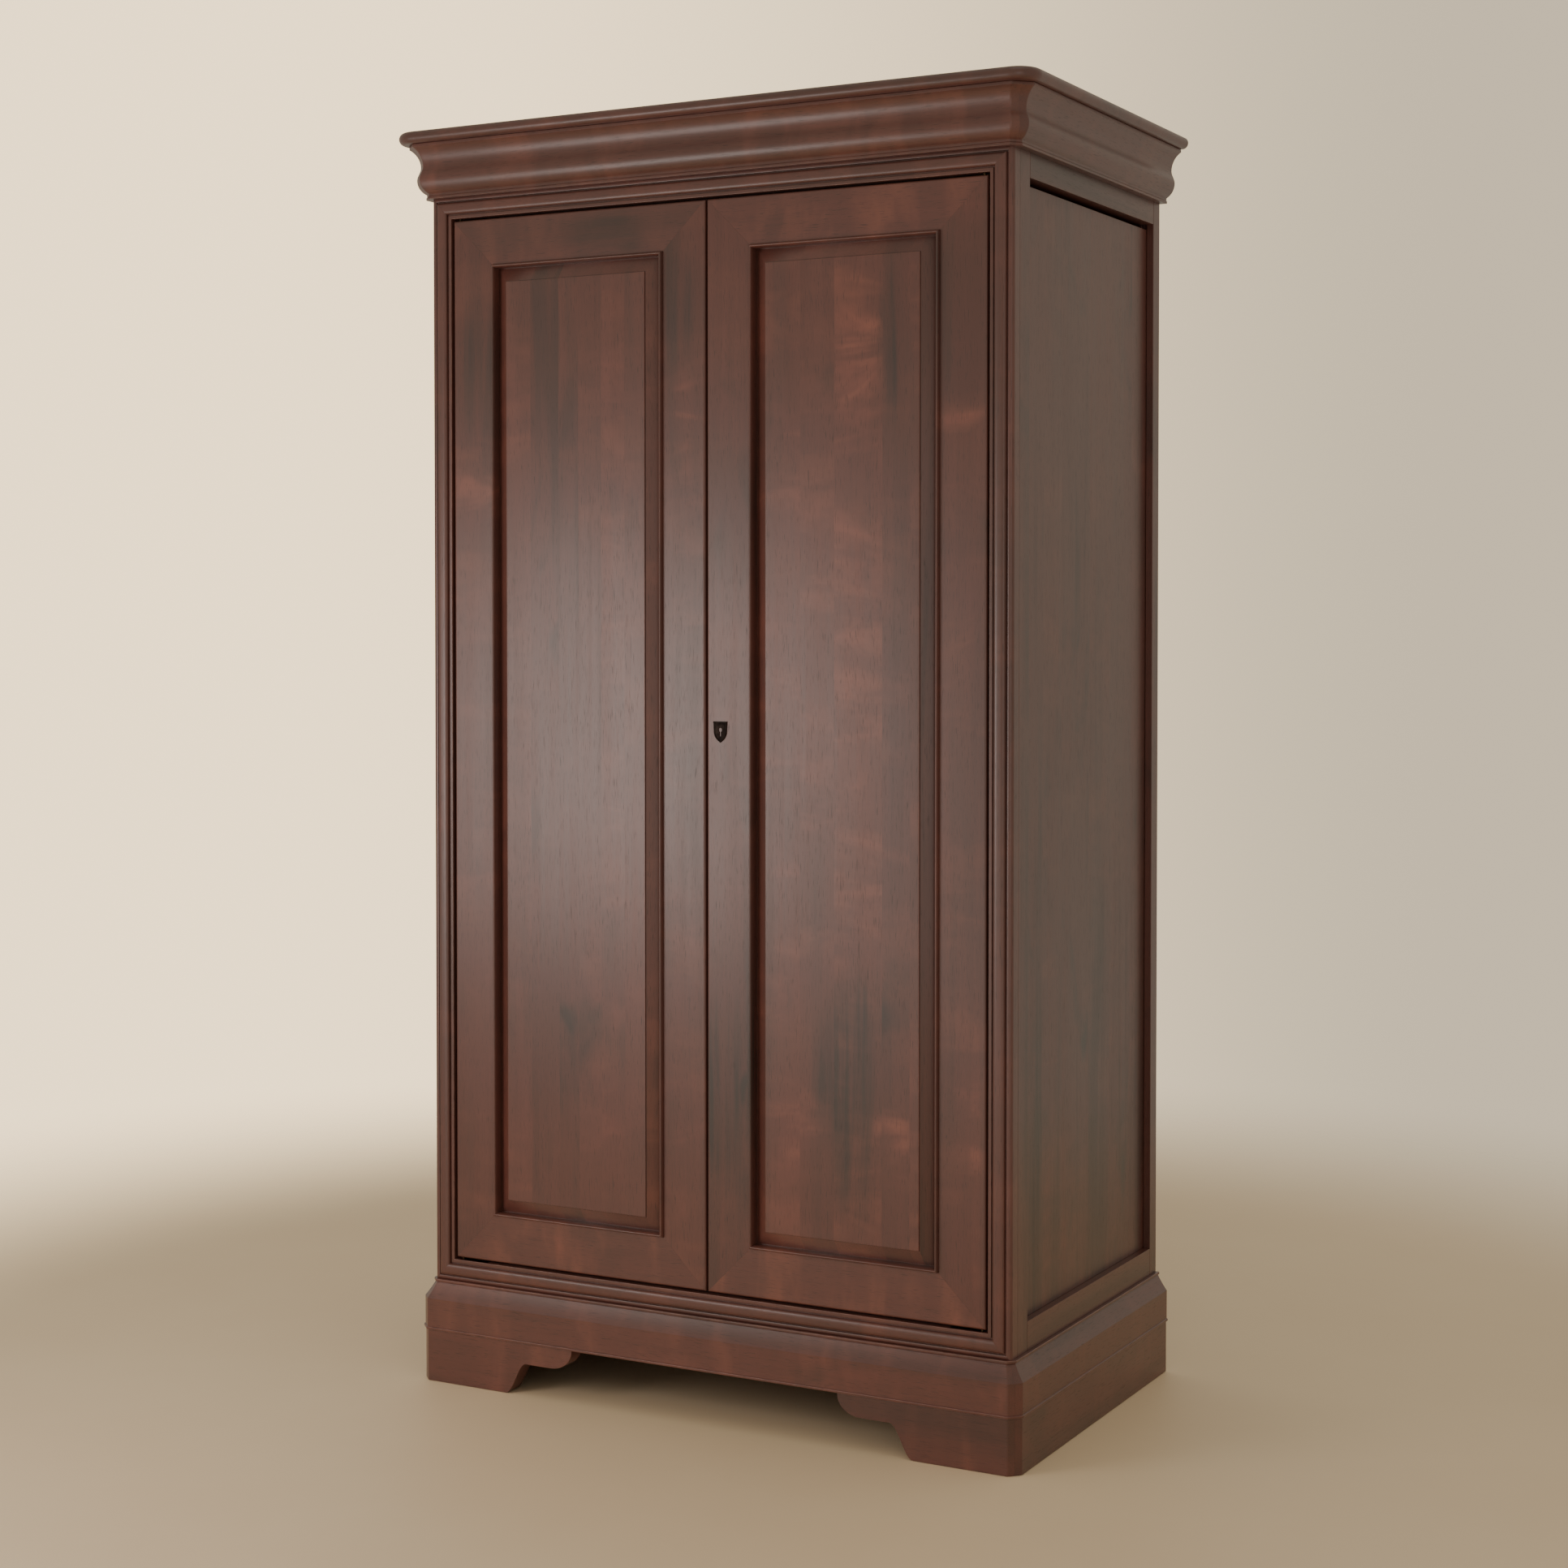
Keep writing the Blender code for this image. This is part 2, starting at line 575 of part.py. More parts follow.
def build_door(side, name, axis, finish, panel_finish):
    """One door. Its members meet in mitres that run from the door's corners to the sight corners."""
    hinge_edge = DOOR_HALF_SPAN - STILE_WIDTH
    meeting_edge = MEETING_GAP / 2 + STILE_WIDTH
    low_edge = DOOR_BOTTOM + BOTTOM_RAIL_WIDTH
    high_edge = DOOR_TOP - TOP_RAIL_WIDTH
    low_slope = BOTTOM_RAIL_WIDTH / STILE_WIDTH
    high_slope = TOP_RAIL_WIDTH / STILE_WIDTH
    profile = member_profile(STILE_WIDTH)
    pieces = {}
    for part, edge, way in (("hinge_stile", hinge_edge, 1), ("meeting_stile", meeting_edge, -1)):
        low = []
        high = []
        for u, h in profile:
            x = side * (edge + way * u)
            low.append((x, DOOR_FRONT - h, low_edge - u * low_slope + MITRE_GAP))
            high.append((x, DOOR_FRONT - h, high_edge + u * high_slope - MITRE_GAP))
        pieces[part] = lofted(part, [low, high])
    rails = (("bottom_rail", low_edge, -1, BOTTOM_RAIL_WIDTH), ("top_rail", high_edge, 1, TOP_RAIL_WIDTH))
    for part, edge, way, width in rails:
        near = []
        far = []
        for v, h in member_profile(width):
            share = v * STILE_WIDTH / width
            z = edge + way * v
            near.append((side * (meeting_edge - share + MITRE_GAP), DOOR_FRONT - h, z))
            far.append((side * (hinge_edge + share - MITRE_GAP), DOOR_FRONT - h, z))
        pieces[part] = lofted(part, [near, far])
    made = {part: smooth(add_object(name + "_" + part, mesh, finish, axis)) for part, mesh in pieces.items()}

    def panel_ring(inset, depth):
        left = side * (meeting_edge + inset)
        right = side * (hinge_edge - inset)
        bottom = low_edge + inset
        top = high_edge - inset
        y = DOOR_FRONT + depth
        return [(left, y, bottom), (right, y, bottom), (right, y, top), (left, y, top)]

    rings = [panel_ring(-PANEL_TONGUE, PANEL_BACK), panel_ring(-PANEL_TONGUE, PANEL_TONGUE_FRONT)]
    rings += [panel_ring(PANEL_MARGIN, PANEL_TONGUE_FRONT), panel_ring(PANEL_BEVEL, -PANEL_BEVEL_PROUD)]
    rings.append(panel_ring(PANEL_BEVEL + PANEL_FIELD_SLOPE, -PANEL_FIELD_PROUD))
    add_object(name + "_panel", lofted(name + "_panel", rings), panel_finish, axis)
    return made


# Knife hinges


def leaf_outline(side, radius):
    """A leaf in plan: a half-round end about the pivot and a straight tail towards the door's middle."""
    pivot = (side * (DOOR_HALF_SPAN - PIVOT_INSET), DOOR_FRONT + PIVOT_INSET)
    tail = side * (DOOR_HALF_SPAN - PIVOT_INSET - LEAF_LENGTH)
    round_end = arc(pivot, (side * radius, radius), -90, 90, 8)
    return round_end + [(tail, pivot[1] + radius), (tail, pivot[1] - radius)]


def build_hinge(side, name, at_top, axis, frame_rail, door_parts, finish):
    """A leaf with a pin let into the face frame, and a bored leaf let into the end of the door."""
    way = 1 if at_top else -1
    frame_edge = OPENING_TOP if at_top else OPENING_BOTTOM
    door_edge = DOOR_TOP if at_top else DOOR_BOTTOM
    pivot = (side * (DOOR_HALF_SPAN - PIVOT_INSET), DOOR_FRONT + PIVOT_INSET)
    radius = LEAF_WIDTH / 2

    frame_far = frame_edge + way * LEAF_THICKNESS
    leaf = prism(name + "_frame_leaf", leaf_outline(side, radius), "z", frame_edge, frame_far, finish)
    pin_far = door_edge - way * LEAF_THICKNESS
    pin_root = frame_edge + way * LEAF_THICKNESS / 2
    pin = prism(name + "_pin_form", cylinder_outline(pivot, PIN_RADIUS), "z", pin_far, pin_root, None)
    cut(leaf, pin, "UNION")

    door_far = door_edge - way * LEAF_THICKNESS
    plate = prism(name + "_door_leaf", leaf_outline(side, radius), "z", door_edge, door_far, finish, axis)
    hole_ends = (door_edge + way * OVERCUT, door_far - way * OVERCUT)
    hole = prism(name + "_hole_form", cylinder_outline(pivot, PIN_HOLE_RADIUS), "z", *hole_ends, None)
    cut(plate, hole)

    clear = radius + POCKET_CLEARANCE
    tail = side * (DOOR_HALF_SPAN - PIVOT_INSET - LEAF_LENGTH - POCKET_CLEARANCE)
    deep = LEAF_THICKNESS + POCKET_CLEARANCE
    frame_end = pivot[0] + side * clear
    low = (tail, pivot[1] - clear, frame_edge - way * OVERCUT)
    high = (frame_end, pivot[1] + clear, frame_edge + way * deep)
    cut(frame_rail, cutter_box(name + "_frame_pocket_form", low, high))
    low = (tail, pivot[1] - clear, door_edge + way * OVERCUT)
    high = (side * (DOOR_HALF_SPAN + OVERCUT), pivot[1] + clear, door_edge - way * deep)
    pocket = cutter_box(name + "_door_pocket_form", low, high)
    for part in door_parts:
        cut(part, pocket)


# Lock, escutcheon and keeper


def keyhole_outline(centre):
    """A round hole with a straight slot below it, as (x, z)."""
    half = KEYHOLE_SLOT / 2
    opening = math.degrees(math.asin(half / KEYHOLE_RADIUS))
    middle = (centre[0], centre[1] + KEYHOLE_LENGTH / 2 - KEYHOLE_RADIUS)
    radii = (KEYHOLE_RADIUS, KEYHOLE_RADIUS)
    outline = arc(middle, radii, -90 + opening, 270 - opening, 14)
    bottom = centre[1] - KEYHOLE_LENGTH / 2
    return outline + [(centre[0] - half, bottom), (centre[0] + half, bottom)]


def shield_outline(centre):
    """A flat top, sides that draw in a little, and two curves that meet in a rounded point, as (x, z)."""
    half = ESCUTCHEON_WIDTH / 2
    waist = half - ESCUTCHEON_TAPER
    shoulder = centre[1] + ESCUTCHEON_SHOULDER
    point = centre[1] - ESCUTCHEON_HEIGHT / 2
    side = [(half, centre[1] + ESCUTCHEON_HEIGHT / 2)]
    for share in (0.0, 0.25, 0.5, 0.75, 0.9):
        side.append((waist * (1 - share ** ESCUTCHEON_CURVE), shoulder + (point - shoulder) * share))
    outline = [(centre[0] + x, z) for x, z in side]
    outline.append((centre[0], point))
    return outline + [(centre[0] - x, z) for x, z in reversed(side)]


def build_lock(right_axis, left_axis, bolt_axis, meeting_stile, brass, bronze, steel):
    centre = (MEETING_GAP / 2 + KEYHOLE_FROM_EDGE, LOCK_Z)
    front = DOOR_FRONT - FIT_GAP - ESCUTCHEON_THICKNESS
    back = DOOR_FRONT - FIT_GAP
    shield = prism("escutcheon", shield_outline(centre), "y", front, back, bronze, right_axis)
    outline = keyhole_outline(centre)
    through = prism("keyhole_form", outline, "y", front - OVERCUT, DOOR_BACK + KEYHOLE_REACH, None)
    cut(shield, through)
    cut(meeting_stile, through)

    case_front = DOOR_BACK + FIT_GAP
    case_back = case_front + LOCK_CASE_DEPTH
    case_left = MEETING_GAP / 2 + LOCK_EDGE_INSET
    low = (case_left, case_front, LOCK_Z - LOCK_CASE_HEIGHT / 2)
    high = (case_left + LOCK_CASE_WIDTH, case_back, LOCK_Z + LOCK_CASE_HEIGHT / 2)
    case = board("lock_case", low, high, brass, right_axis)
    cut(case, through)
    bolt_middle = (case_front + case_back) / 2 + LOCK_BOLT_SETBACK
    half_thick = BOLT_THICKNESS / 2
    half_high = BOLT_HEIGHT / 2
    low = (case_left, bolt_middle - half_thick, LOCK_Z - half_high)
    high = (case_left + BOLT_LENGTH, bolt_middle + half_thick, LOCK_Z + half_high)
    board("lock_bolt", low, high, steel, bolt_axis)
    slack = BOLT_CLEARANCE
    low = (case_left - OVERCUT, bolt_middle - half_thick - slack, LOCK_Z - half_high - slack)
    way_end = case_left + BOLT_LENGTH + BOLT_END_CLEARANCE
    high = (way_end, bolt_middle + half_thick + slack, LOCK_Z + half_high + slack)
    cut(case, cutter_box("bolt_way_form", low, high))

    keeper_right = -MEETING_GAP / 2 - LOCK_EDGE_INSET
    low = (keeper_right - KEEPER_WIDTH, case_front, LOCK_Z - KEEPER_HEIGHT / 2)
    high = (keeper_right, case_back, LOCK_Z + KEEPER_HEIGHT / 2)
    keeper = board("lock_keeper", low, high, brass, left_axis)
    low = (keeper_right - BOLT_THROW, bolt_middle - half_thick - 2 * slack, LOCK_Z - half_high - 2 * slack)
    high = (keeper_right + OVERCUT, bolt_middle + half_thick + 2 * slack, LOCK_Z + half_high + 2 * slack)
    cut(keeper, cutter_box("keeper_mouth_form", low, high))


# Flush bolts on the back of the left door's meeting stile


def build_flush_bolt(name, at_top, left_axis, rod_axis, keeper_board, brass, steel):
    """A channel on the door and a rod that slides into a hole in the carcass."""
    way = 1 if at_top else -1
    stop = STOP_LIP_BOTTOM if at_top else BOTTOM_BOARD_TOP
    x = -MEETING_GAP / 2 - FLUSH_BOLT_FROM_EDGE
    face = DOOR_BACK + FIT_GAP
    rod_y = face + FLUSH_ROD_DEPTH
    bore = FLUSH_ROD_RADIUS + FLUSH_ROD_CLEARANCE
    half = FLUSH_PLATE_WIDTH / 2
    far = face + FLUSH_PLATE_DEPTH
    slot = math.degrees(math.asin((FLUSH_KNOB_RADIUS + FLUSH_ROD_CLEARANCE) / bore))
    channel = [(x - half, far), (x - half, face), (x + half, face), (x + half, far)]
    mouth = FLUSH_KNOB_RADIUS + FLUSH_ROD_CLEARANCE
    channel += [(x + mouth, far)] + arc((x, rod_y), (bore, bore), 90 - slot, -270 + slot, 16)
    channel.append((x - mouth, far))
    near = stop - way * FLUSH_PLATE_INSET
    prism(name + "_body", channel, "z", near, near - way * FLUSH_PLATE_LENGTH, brass, left_axis)

    tip = stop - way * FLUSH_TIP_GAP
    tail = near - way * (FLUSH_PLATE_LENGTH + FLUSH_ROD_TAIL)
    outline = cylinder_outline((x, rod_y), FLUSH_ROD_RADIUS, 16)
    rod = prism(name + "_rod", outline, "z", tip, tail, steel, rod_axis)
    knob_z = near - way * FLUSH_PLATE_LENGTH / 2
    outline = cylinder_outline((x, knob_z), FLUSH_KNOB_RADIUS, 12)
    knob = prism(name + "_knob_form", outline, "y", rod_y, rod_y + FLUSH_KNOB_REACH, None)
    cut(rod, knob, "UNION")

    outline = cylinder_outline((x, rod_y), bore, 16)
    ends = (stop - way * OVERCUT, stop + way * FLUSH_THROW)
    cut(keeper_board, prism(name + "_hole_form", outline, "z", *ends, None))


# Inside of the carcass


def build_inside(wood, inner_wood, steel):
    end = INSIDE_HALF - FIT_GAP
    back = INSIDE_BACK - FIT_GAP
    low = (-end, INSIDE_FRONT, BOTTOM_BOARD_TOP - SHELF_THICKNESS)
    bottom = board("bottom_board", low, (end, back, BOTTOM_BOARD_TOP), inner_wood)
    lip_back = INSIDE_FRONT + STOP_LIP_DEPTH
    top = INNER_TOP_BOTTOM + SHELF_THICKNESS
    outline = [(INSIDE_FRONT, STOP_LIP_BOTTOM), (lip_back, STOP_LIP_BOTTOM), (lip_back, INNER_TOP_BOTTOM)]
    outline += [(back, INNER_TOP_BOTTOM), (back, top), (INSIDE_FRONT, top)]
    inner_top = prism("inner_top_board", outline, "x", -end, end, inner_wood)

    for side, hand in ((-1, "left"), (1, "right")):
        near = side * (DOOR_HALF_SPAN - STOP_RELIEF_LENGTH)
        far = side * (end + OVERCUT)
        relief_back = INSIDE_FRONT + STOP_RELIEF_DEPTH
        low = (near, INSIDE_FRONT - OVERCUT, STOP_LIP_BOTTOM - OVERCUT)
        cut(inner_top, cutter_box(hand + "_upper_relief_form", low, (far, relief_back, INNER_TOP_BOTTOM)))
        low = (near, INSIDE_FRONT - OVERCUT, BOTTOM_BOARD_TOP - SHELF_THICKNESS - OVERCUT)
        high = (far, relief_back, BOTTOM_BOARD_TOP + OVERCUT)
        cut(bottom, cutter_box(hand + "_lower_relief_form", low, high))

    panel_y = (INSIDE_BACK, INSIDE_BACK + BACK_THICKNESS)
    backs = (("back_panel_left", -end, -FIT_GAP / 2), ("back_panel_right", FIT_GAP / 2, end))
    for name, left, right in backs:
        low = (left, panel_y[0], BASE_BOTTOM)
        board(name, low, (right, panel_y[1], CORNICE_TOP), inner_wood)

    shelf_bottom = SHELF_TOP - SHELF_THICKNESS
    low = (-end, FRONT + SHELF_FRONT_INSET, shelf_bottom)
    board("hat_shelf", low, (end, back, SHELF_TOP), inner_wood)
    bearer_top = shelf_bottom - FIT_GAP
    rail_y = (FRONT + BACK) / 2
    rail_z = bearer_top - RAIL_DROP
    for side, name in ((-1, "rail_bearer_left"), (1, "rail_bearer_right")):
        inner = side * (end - BEARER_THICKNESS)
        low = (inner, FRONT + BEARER_FRONT_INSET, bearer_top - BEARER_HEIGHT)
        bearer = board(name, low, (side * end, back - BEARER_BACK_INSET, bearer_top), wood)
        seat = RAIL_RADIUS + RAIL_CLEARANCE
        notch = arc((rail_y, rail_z), (seat, seat), 180, 360, 12)
        notch += [(rail_y + seat, bearer_top + OVERCUT), (rail_y - seat, bearer_top + OVERCUT)]
        stop = side * (end - RAIL_SEAT_WALL)
        form = prism(name + "_notch_form", notch, "x", inner - side * OVERCUT, stop, None)
        cut(bearer, form)
    rail_end = end - RAIL_SEAT_WALL - FIT_GAP
    outline = cylinder_outline((rail_y, rail_z), RAIL_RADIUS, 24)
    smooth(prism("hanging_rail", outline, "x", -rail_end, rail_end, steel))
    return bottom, inner_top


def main():
    for obj in list(bpy.data.objects):
        bpy.data.objects.remove(obj, do_unlink=True)

    frame_wood = material("mahogany_frame", (0.130, 0.060, 0.045), 0.35)
    panel_wood = material("mahogany_panel", (0.150, 0.072, 0.052), 0.35)
    inner_wood = material("mahogany_inside", (0.200, 0.110, 0.075), 0.55)
    brass = material("aged_brass", (0.420, 0.300, 0.130), 0.38, 1.0)
    bronze = material("dark_bronze", (0.045, 0.030, 0.022), 0.42, 1.0)
    steel = material("brushed_steel", (0.450, 0.440, 0.420), 0.35, 1.0)

    build_feet(frame_wood)
    build_plinth_sides(frame_wood)
    build_base_moulding(frame_wood)
    build_cornice(frame_wood)
    build_top_board(frame_wood)
    bottom_rail, top_rail = build_face_frame(frame_wood)
    build_side(-1, "side_left", frame_wood, panel_wood)
    build_side(1, "side_right", frame_wood, panel_wood)
    bottom_board, inner_top = build_inside(frame_wood, inner_wood, steel)

    doors = {}
    for side, name in ((-1, "left_door"), (1, "right_door")):
        pivot = (side * (DOOR_HALF_SPAN - PIVOT_INSET), DOOR_FRONT + PIVOT_INSET, DOOR_BOTTOM)
        axis = add_axis(name + "_hinge_axis", pivot)
        parts = build_door(side, name, axis, frame_wood, panel_wood)
        doors[name] = (axis, parts)
        for at_top, level, rail in ((True, "top", top_rail), (False, "bottom", bottom_rail)):
            door_parts = (parts["hinge_stile"], parts[level + "_rail"])
            build_hinge(side, name + "_" + level, at_top, axis, rail, door_parts, brass)

    left_axis = doors["left_door"][0]
    right_axis, right_parts = doors["right_door"]
    bolt_axis = add_axis("lock_bolt_axis", (MEETING_GAP / 2, DOOR_BACK, LOCK_Z))
    build_lock(right_axis, left_axis, bolt_axis, right_parts["meeting_stile"], brass, bronze, steel)
    flush_bolts = (("upper_flush_bolt", True, inner_top), ("lower_flush_bolt", False, bottom_board))
    for name, at_top, keeper in flush_bolts:
        rod_z = STOP_LIP_BOTTOM if at_top else BOTTOM_BOARD_TOP
        rod_axis = add_axis(name + "_axis", (-MEETING_GAP / 2 - FLUSH_BOLT_FROM_EDGE, DOOR_BACK, rod_z))
        build_flush_bolt(name, at_top, left_axis, rod_axis, keeper, brass, steel)


main()
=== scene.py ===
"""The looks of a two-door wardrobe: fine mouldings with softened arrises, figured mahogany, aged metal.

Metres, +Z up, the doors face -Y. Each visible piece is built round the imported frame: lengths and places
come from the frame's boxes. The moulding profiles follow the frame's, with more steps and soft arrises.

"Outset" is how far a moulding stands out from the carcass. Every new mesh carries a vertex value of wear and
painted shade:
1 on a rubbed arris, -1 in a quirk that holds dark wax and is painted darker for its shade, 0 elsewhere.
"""

import math

import bmesh
import bpy
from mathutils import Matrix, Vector


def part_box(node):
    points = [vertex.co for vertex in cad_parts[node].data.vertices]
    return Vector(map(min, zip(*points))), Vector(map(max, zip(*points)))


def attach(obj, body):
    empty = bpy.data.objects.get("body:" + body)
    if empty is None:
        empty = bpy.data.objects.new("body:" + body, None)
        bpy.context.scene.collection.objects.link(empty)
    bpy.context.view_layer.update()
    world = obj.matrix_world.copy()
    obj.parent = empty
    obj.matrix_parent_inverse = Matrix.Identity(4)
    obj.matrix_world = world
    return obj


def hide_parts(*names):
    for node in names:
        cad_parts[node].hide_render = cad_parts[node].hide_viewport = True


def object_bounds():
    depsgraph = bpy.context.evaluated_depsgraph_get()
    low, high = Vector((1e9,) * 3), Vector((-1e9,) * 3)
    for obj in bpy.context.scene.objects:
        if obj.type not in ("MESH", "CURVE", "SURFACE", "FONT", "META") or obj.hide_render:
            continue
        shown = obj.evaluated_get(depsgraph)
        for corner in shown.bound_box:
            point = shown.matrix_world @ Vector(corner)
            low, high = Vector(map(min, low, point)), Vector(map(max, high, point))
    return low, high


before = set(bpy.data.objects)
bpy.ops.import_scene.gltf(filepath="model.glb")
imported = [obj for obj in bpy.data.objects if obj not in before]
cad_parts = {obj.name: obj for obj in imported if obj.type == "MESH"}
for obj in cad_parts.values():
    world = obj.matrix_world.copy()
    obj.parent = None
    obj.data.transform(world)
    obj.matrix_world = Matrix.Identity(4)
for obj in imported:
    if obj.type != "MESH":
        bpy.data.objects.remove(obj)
CAD_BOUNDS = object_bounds()

# Places read from the frame
SIDE_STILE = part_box("side_right_front_stile")
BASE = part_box("base_moulding_front")
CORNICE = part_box("cornice_front")
TOP_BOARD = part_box("cornice_top_board")
FRAME_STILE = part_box("face_frame_right_stile")
FRAME_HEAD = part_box("face_frame_top_rail")
FRAME_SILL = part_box("face_frame_bottom_rail")
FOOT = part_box("bracket_foot_right")
DOOR_HINGE_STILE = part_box("right_door_hinge_stile")
DOOR_MEETING_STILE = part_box("right_door_meeting_stile")
DOOR_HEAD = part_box("right_door_top_rail")
DOOR_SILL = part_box("right_door_bottom_rail")
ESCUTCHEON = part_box("escutcheon")

HALF_WIDTH = SIDE_STILE[1].x
FRAME_THICKNESS = 0.022
FIT_GAP = 0.0003
FRONT = SIDE_STILE[0].y - FRAME_THICKNESS - FIT_GAP
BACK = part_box("side_right_rear_stile")[1].y
DOOR_BACK = DOOR_HINGE_STILE[1].y
DOOR_FRONT = DOOR_BACK - FRAME_THICKNESS

# Fine fits of the visible pieces
MITRE_GAP = 0.00006
WELD = 0.000001
ARC_STEPS = 4

# Canted corners of the mouldings, in plan
CORNER_CANT = 0.008
CORNER_GROWTH = 0.45
CANT_EASE = 0.09
CANT_ARRIS = {0.0: (0.1 * CANT_EASE, 0.25 * CANT_EASE), 1.0: (0.25 * CANT_EASE, 0.1 * CANT_EASE)}
BOARD_CORNER_RADIUS = 0.038
MOULDING_SMOOTH = 32


# Meshes


def arc(centre, radii, start, end, steps):
    """Points on an ellipse from start to end, in degrees, with both ends."""
    points = []
    for i in range(steps + 1):
        turn = math.radians(start + (end - start) * i / steps)
        points.append((centre[0] + radii[0] * math.cos(turn), centre[1] + radii[1] * math.sin(turn)))
    return points


def sway(start, end, steps):
    """Points on a cosine S-curve whose first coordinate eases from start to end."""
    points = []
    for i in range(steps + 1):
        share = i / steps
        eased = (1 - math.cos(math.pi * share)) / 2
        points.append((start[0] + (end[0] - start[0]) * eased, start[1] + (end[1] - start[1]) * share))
    return points


def hollow(start, end, depth, steps):
    """Points from start to end along a shallow hollow, which sinks to the left of its chord."""
    run = (end[0] - start[0], end[1] - start[1])
    length = math.hypot(*run)
    points = []
    for i in range(steps + 1):
        share = i / steps
        sink = 4 * depth * share * (1 - share) / length
        points.append((start[0] + run[0] * share - run[1] * sink, start[1] + run[1] * share + run[0] * sink))
    return points


def softened(outline):
    """Rounds each (a, b, radius) corner of a closed outline. Returns (a, b, wear) points."""
    twice_area = 0.0
    for near, far in zip(outline, outline[1:] + outline[:1]):
        twice_area += near[0] * far[1] - far[0] * near[1]
    points = []
    for i, corner in enumerate(outline):
        here = Vector((corner[0], corner[1], 0))
        if len(corner) == 2:
            points.append((here.x, here.y, 0.0))
            continue
        before = Vector((*outline[i - 1][:2], 0)) - here
        after = Vector((*outline[(i + 1) % len(outline)][:2], 0)) - here
        half = before.angle(after) / 2
        reach = corner[2] / math.tan(half)
        centre = here + (before.normalized() + after.normalized()).normalized() * corner[2] / math.sin(half)
        first = (here + before.normalized() * reach - centre).normalized()
        last = (here + after.normalized() * reach - centre).normalized()
        # Convex corners are marked as rubbed arrises, concave ones for dark wax and painted shade.
        convex = before.cross(after).z * twice_area < 0
        for step in range(ARC_STEPS + 1):
            point = centre + first.slerp(last, step / ARC_STEPS) * corner[2]
            middle = 0 < step < ARC_STEPS
            points.append((point.x, point.y, (1.0 if convex else -1.0) if middle else 0.0))
    return points


def lofted(name, rings, wear_and_shade):
    """A closed mesh through rings of equal length, capped at both ends. wear has a value per ring point."""
    form = bmesh.new()
    layer = form.verts.layers.float.new("wear_and_shade")
    loops = []
    for ring in rings:
        loop = [form.verts.new(point) for point in ring]
        for vert, value in zip(loop, wear_and_shade):
            vert[layer] = value
        loops.append(loop)
    count = len(loops[0])
    for near, far in zip(loops, loops[1:]):
        for i in range(count):
            j = (i + 1) % count
            form.faces.new((near[i], near[j], far[j], far[i]))
    form.faces.new(loops[0])
    form.faces.new(loops[-1])
    bmesh.ops.remove_doubles(form, verts=form.verts, dist=WELD)
    bmesh.ops.recalc_face_normals(form, faces=form.faces)
    mesh = bpy.data.meshes.new(name)
    form.to_mesh(mesh)
    form.free()
    return mesh


def soften_edges(mesh, radius, angle=30, kept=None):
    """Rounds a mesh's sharp edges, but for those kept(edge) picks, and marks the roundings as worn."""
    form = bmesh.new()
    form.from_mesh(mesh)
    layer = form.verts.layers.float.get("wear_and_shade") or form.verts.layers.float.new("wear_and_shade")
    sharp = []
    for edge in form.edges:
        if edge.is_manifold and edge.calc_face_angle() > math.radians(angle) and not (kept and kept(edge)):
            sharp.append(edge)
    made = bmesh.ops.bevel(form, geom=sharp, offset=radius, segments=3, profile=0.5, affect="EDGES")
    rounded = set(made["faces"])
    for vert in form.verts:
        if all(face in rounded for face in vert.link_faces):
            vert[layer] = 1.0
    form.to_mesh(mesh)
    form.free()


def add_piece(name, mesh, finish, body, *nodes, smooth=40):
    """Shows a new mesh in place of CAD nodes and hangs it on their body."""
    piece = bpy.data.objects.new(name, mesh)
    bpy.context.scene.collection.objects.link(piece)
    mesh.materials.append(finish)
    mesh.shade_smooth()
    mesh.set_sharp_from_angle(angle=math.radians(smooth))
    weighted = piece.modifiers.new("even_faces", "WEIGHTED_NORMAL")
    weighted.keep_sharp = True
    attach(piece, body)
    if nodes:
        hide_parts(*nodes)
    return piece


def prism(name, outline, axis, low, high, wear_and_shade=None):
    """A flat outline pushed along x, y or z. The outline's coordinates are the other two axes, in order."""
    rings = []
    for along in (low, high):
        ring = []
        for point in outline:
            coordinates = list(point[:2])
            coordinates.insert("xyz".index(axis), along)
            ring.append(coordinates)
        rings.append(ring)
    return lofted(name, rings, wear_and_shade or [0.0] * len(outline))


def combined(name, mesh, other, operation):
    """The Boolean INTERSECT or DIFFERENCE of two closed meshes, as a new mesh."""
    body = bpy.data.objects.new(name + "_body", mesh)
    tool = bpy.data.objects.new(name + "_tool", other)
    for obj in (body, tool):
        bpy.context.scene.collection.objects.link(obj)
    modifier = body.modifiers.new("shape", "BOOLEAN")
    modifier.operation = operation
    modifier.solver = "EXACT"
    modifier.object = tool
    bpy.context.view_layer.update()
    shaped = bpy.data.meshes.new_from_object(body.evaluated_get(bpy.context.evaluated_depsgraph_get()))
    for obj in (body, tool):
        bpy.data.objects.remove(obj)
    shaped.name = name
    return shaped


# Shader graphs


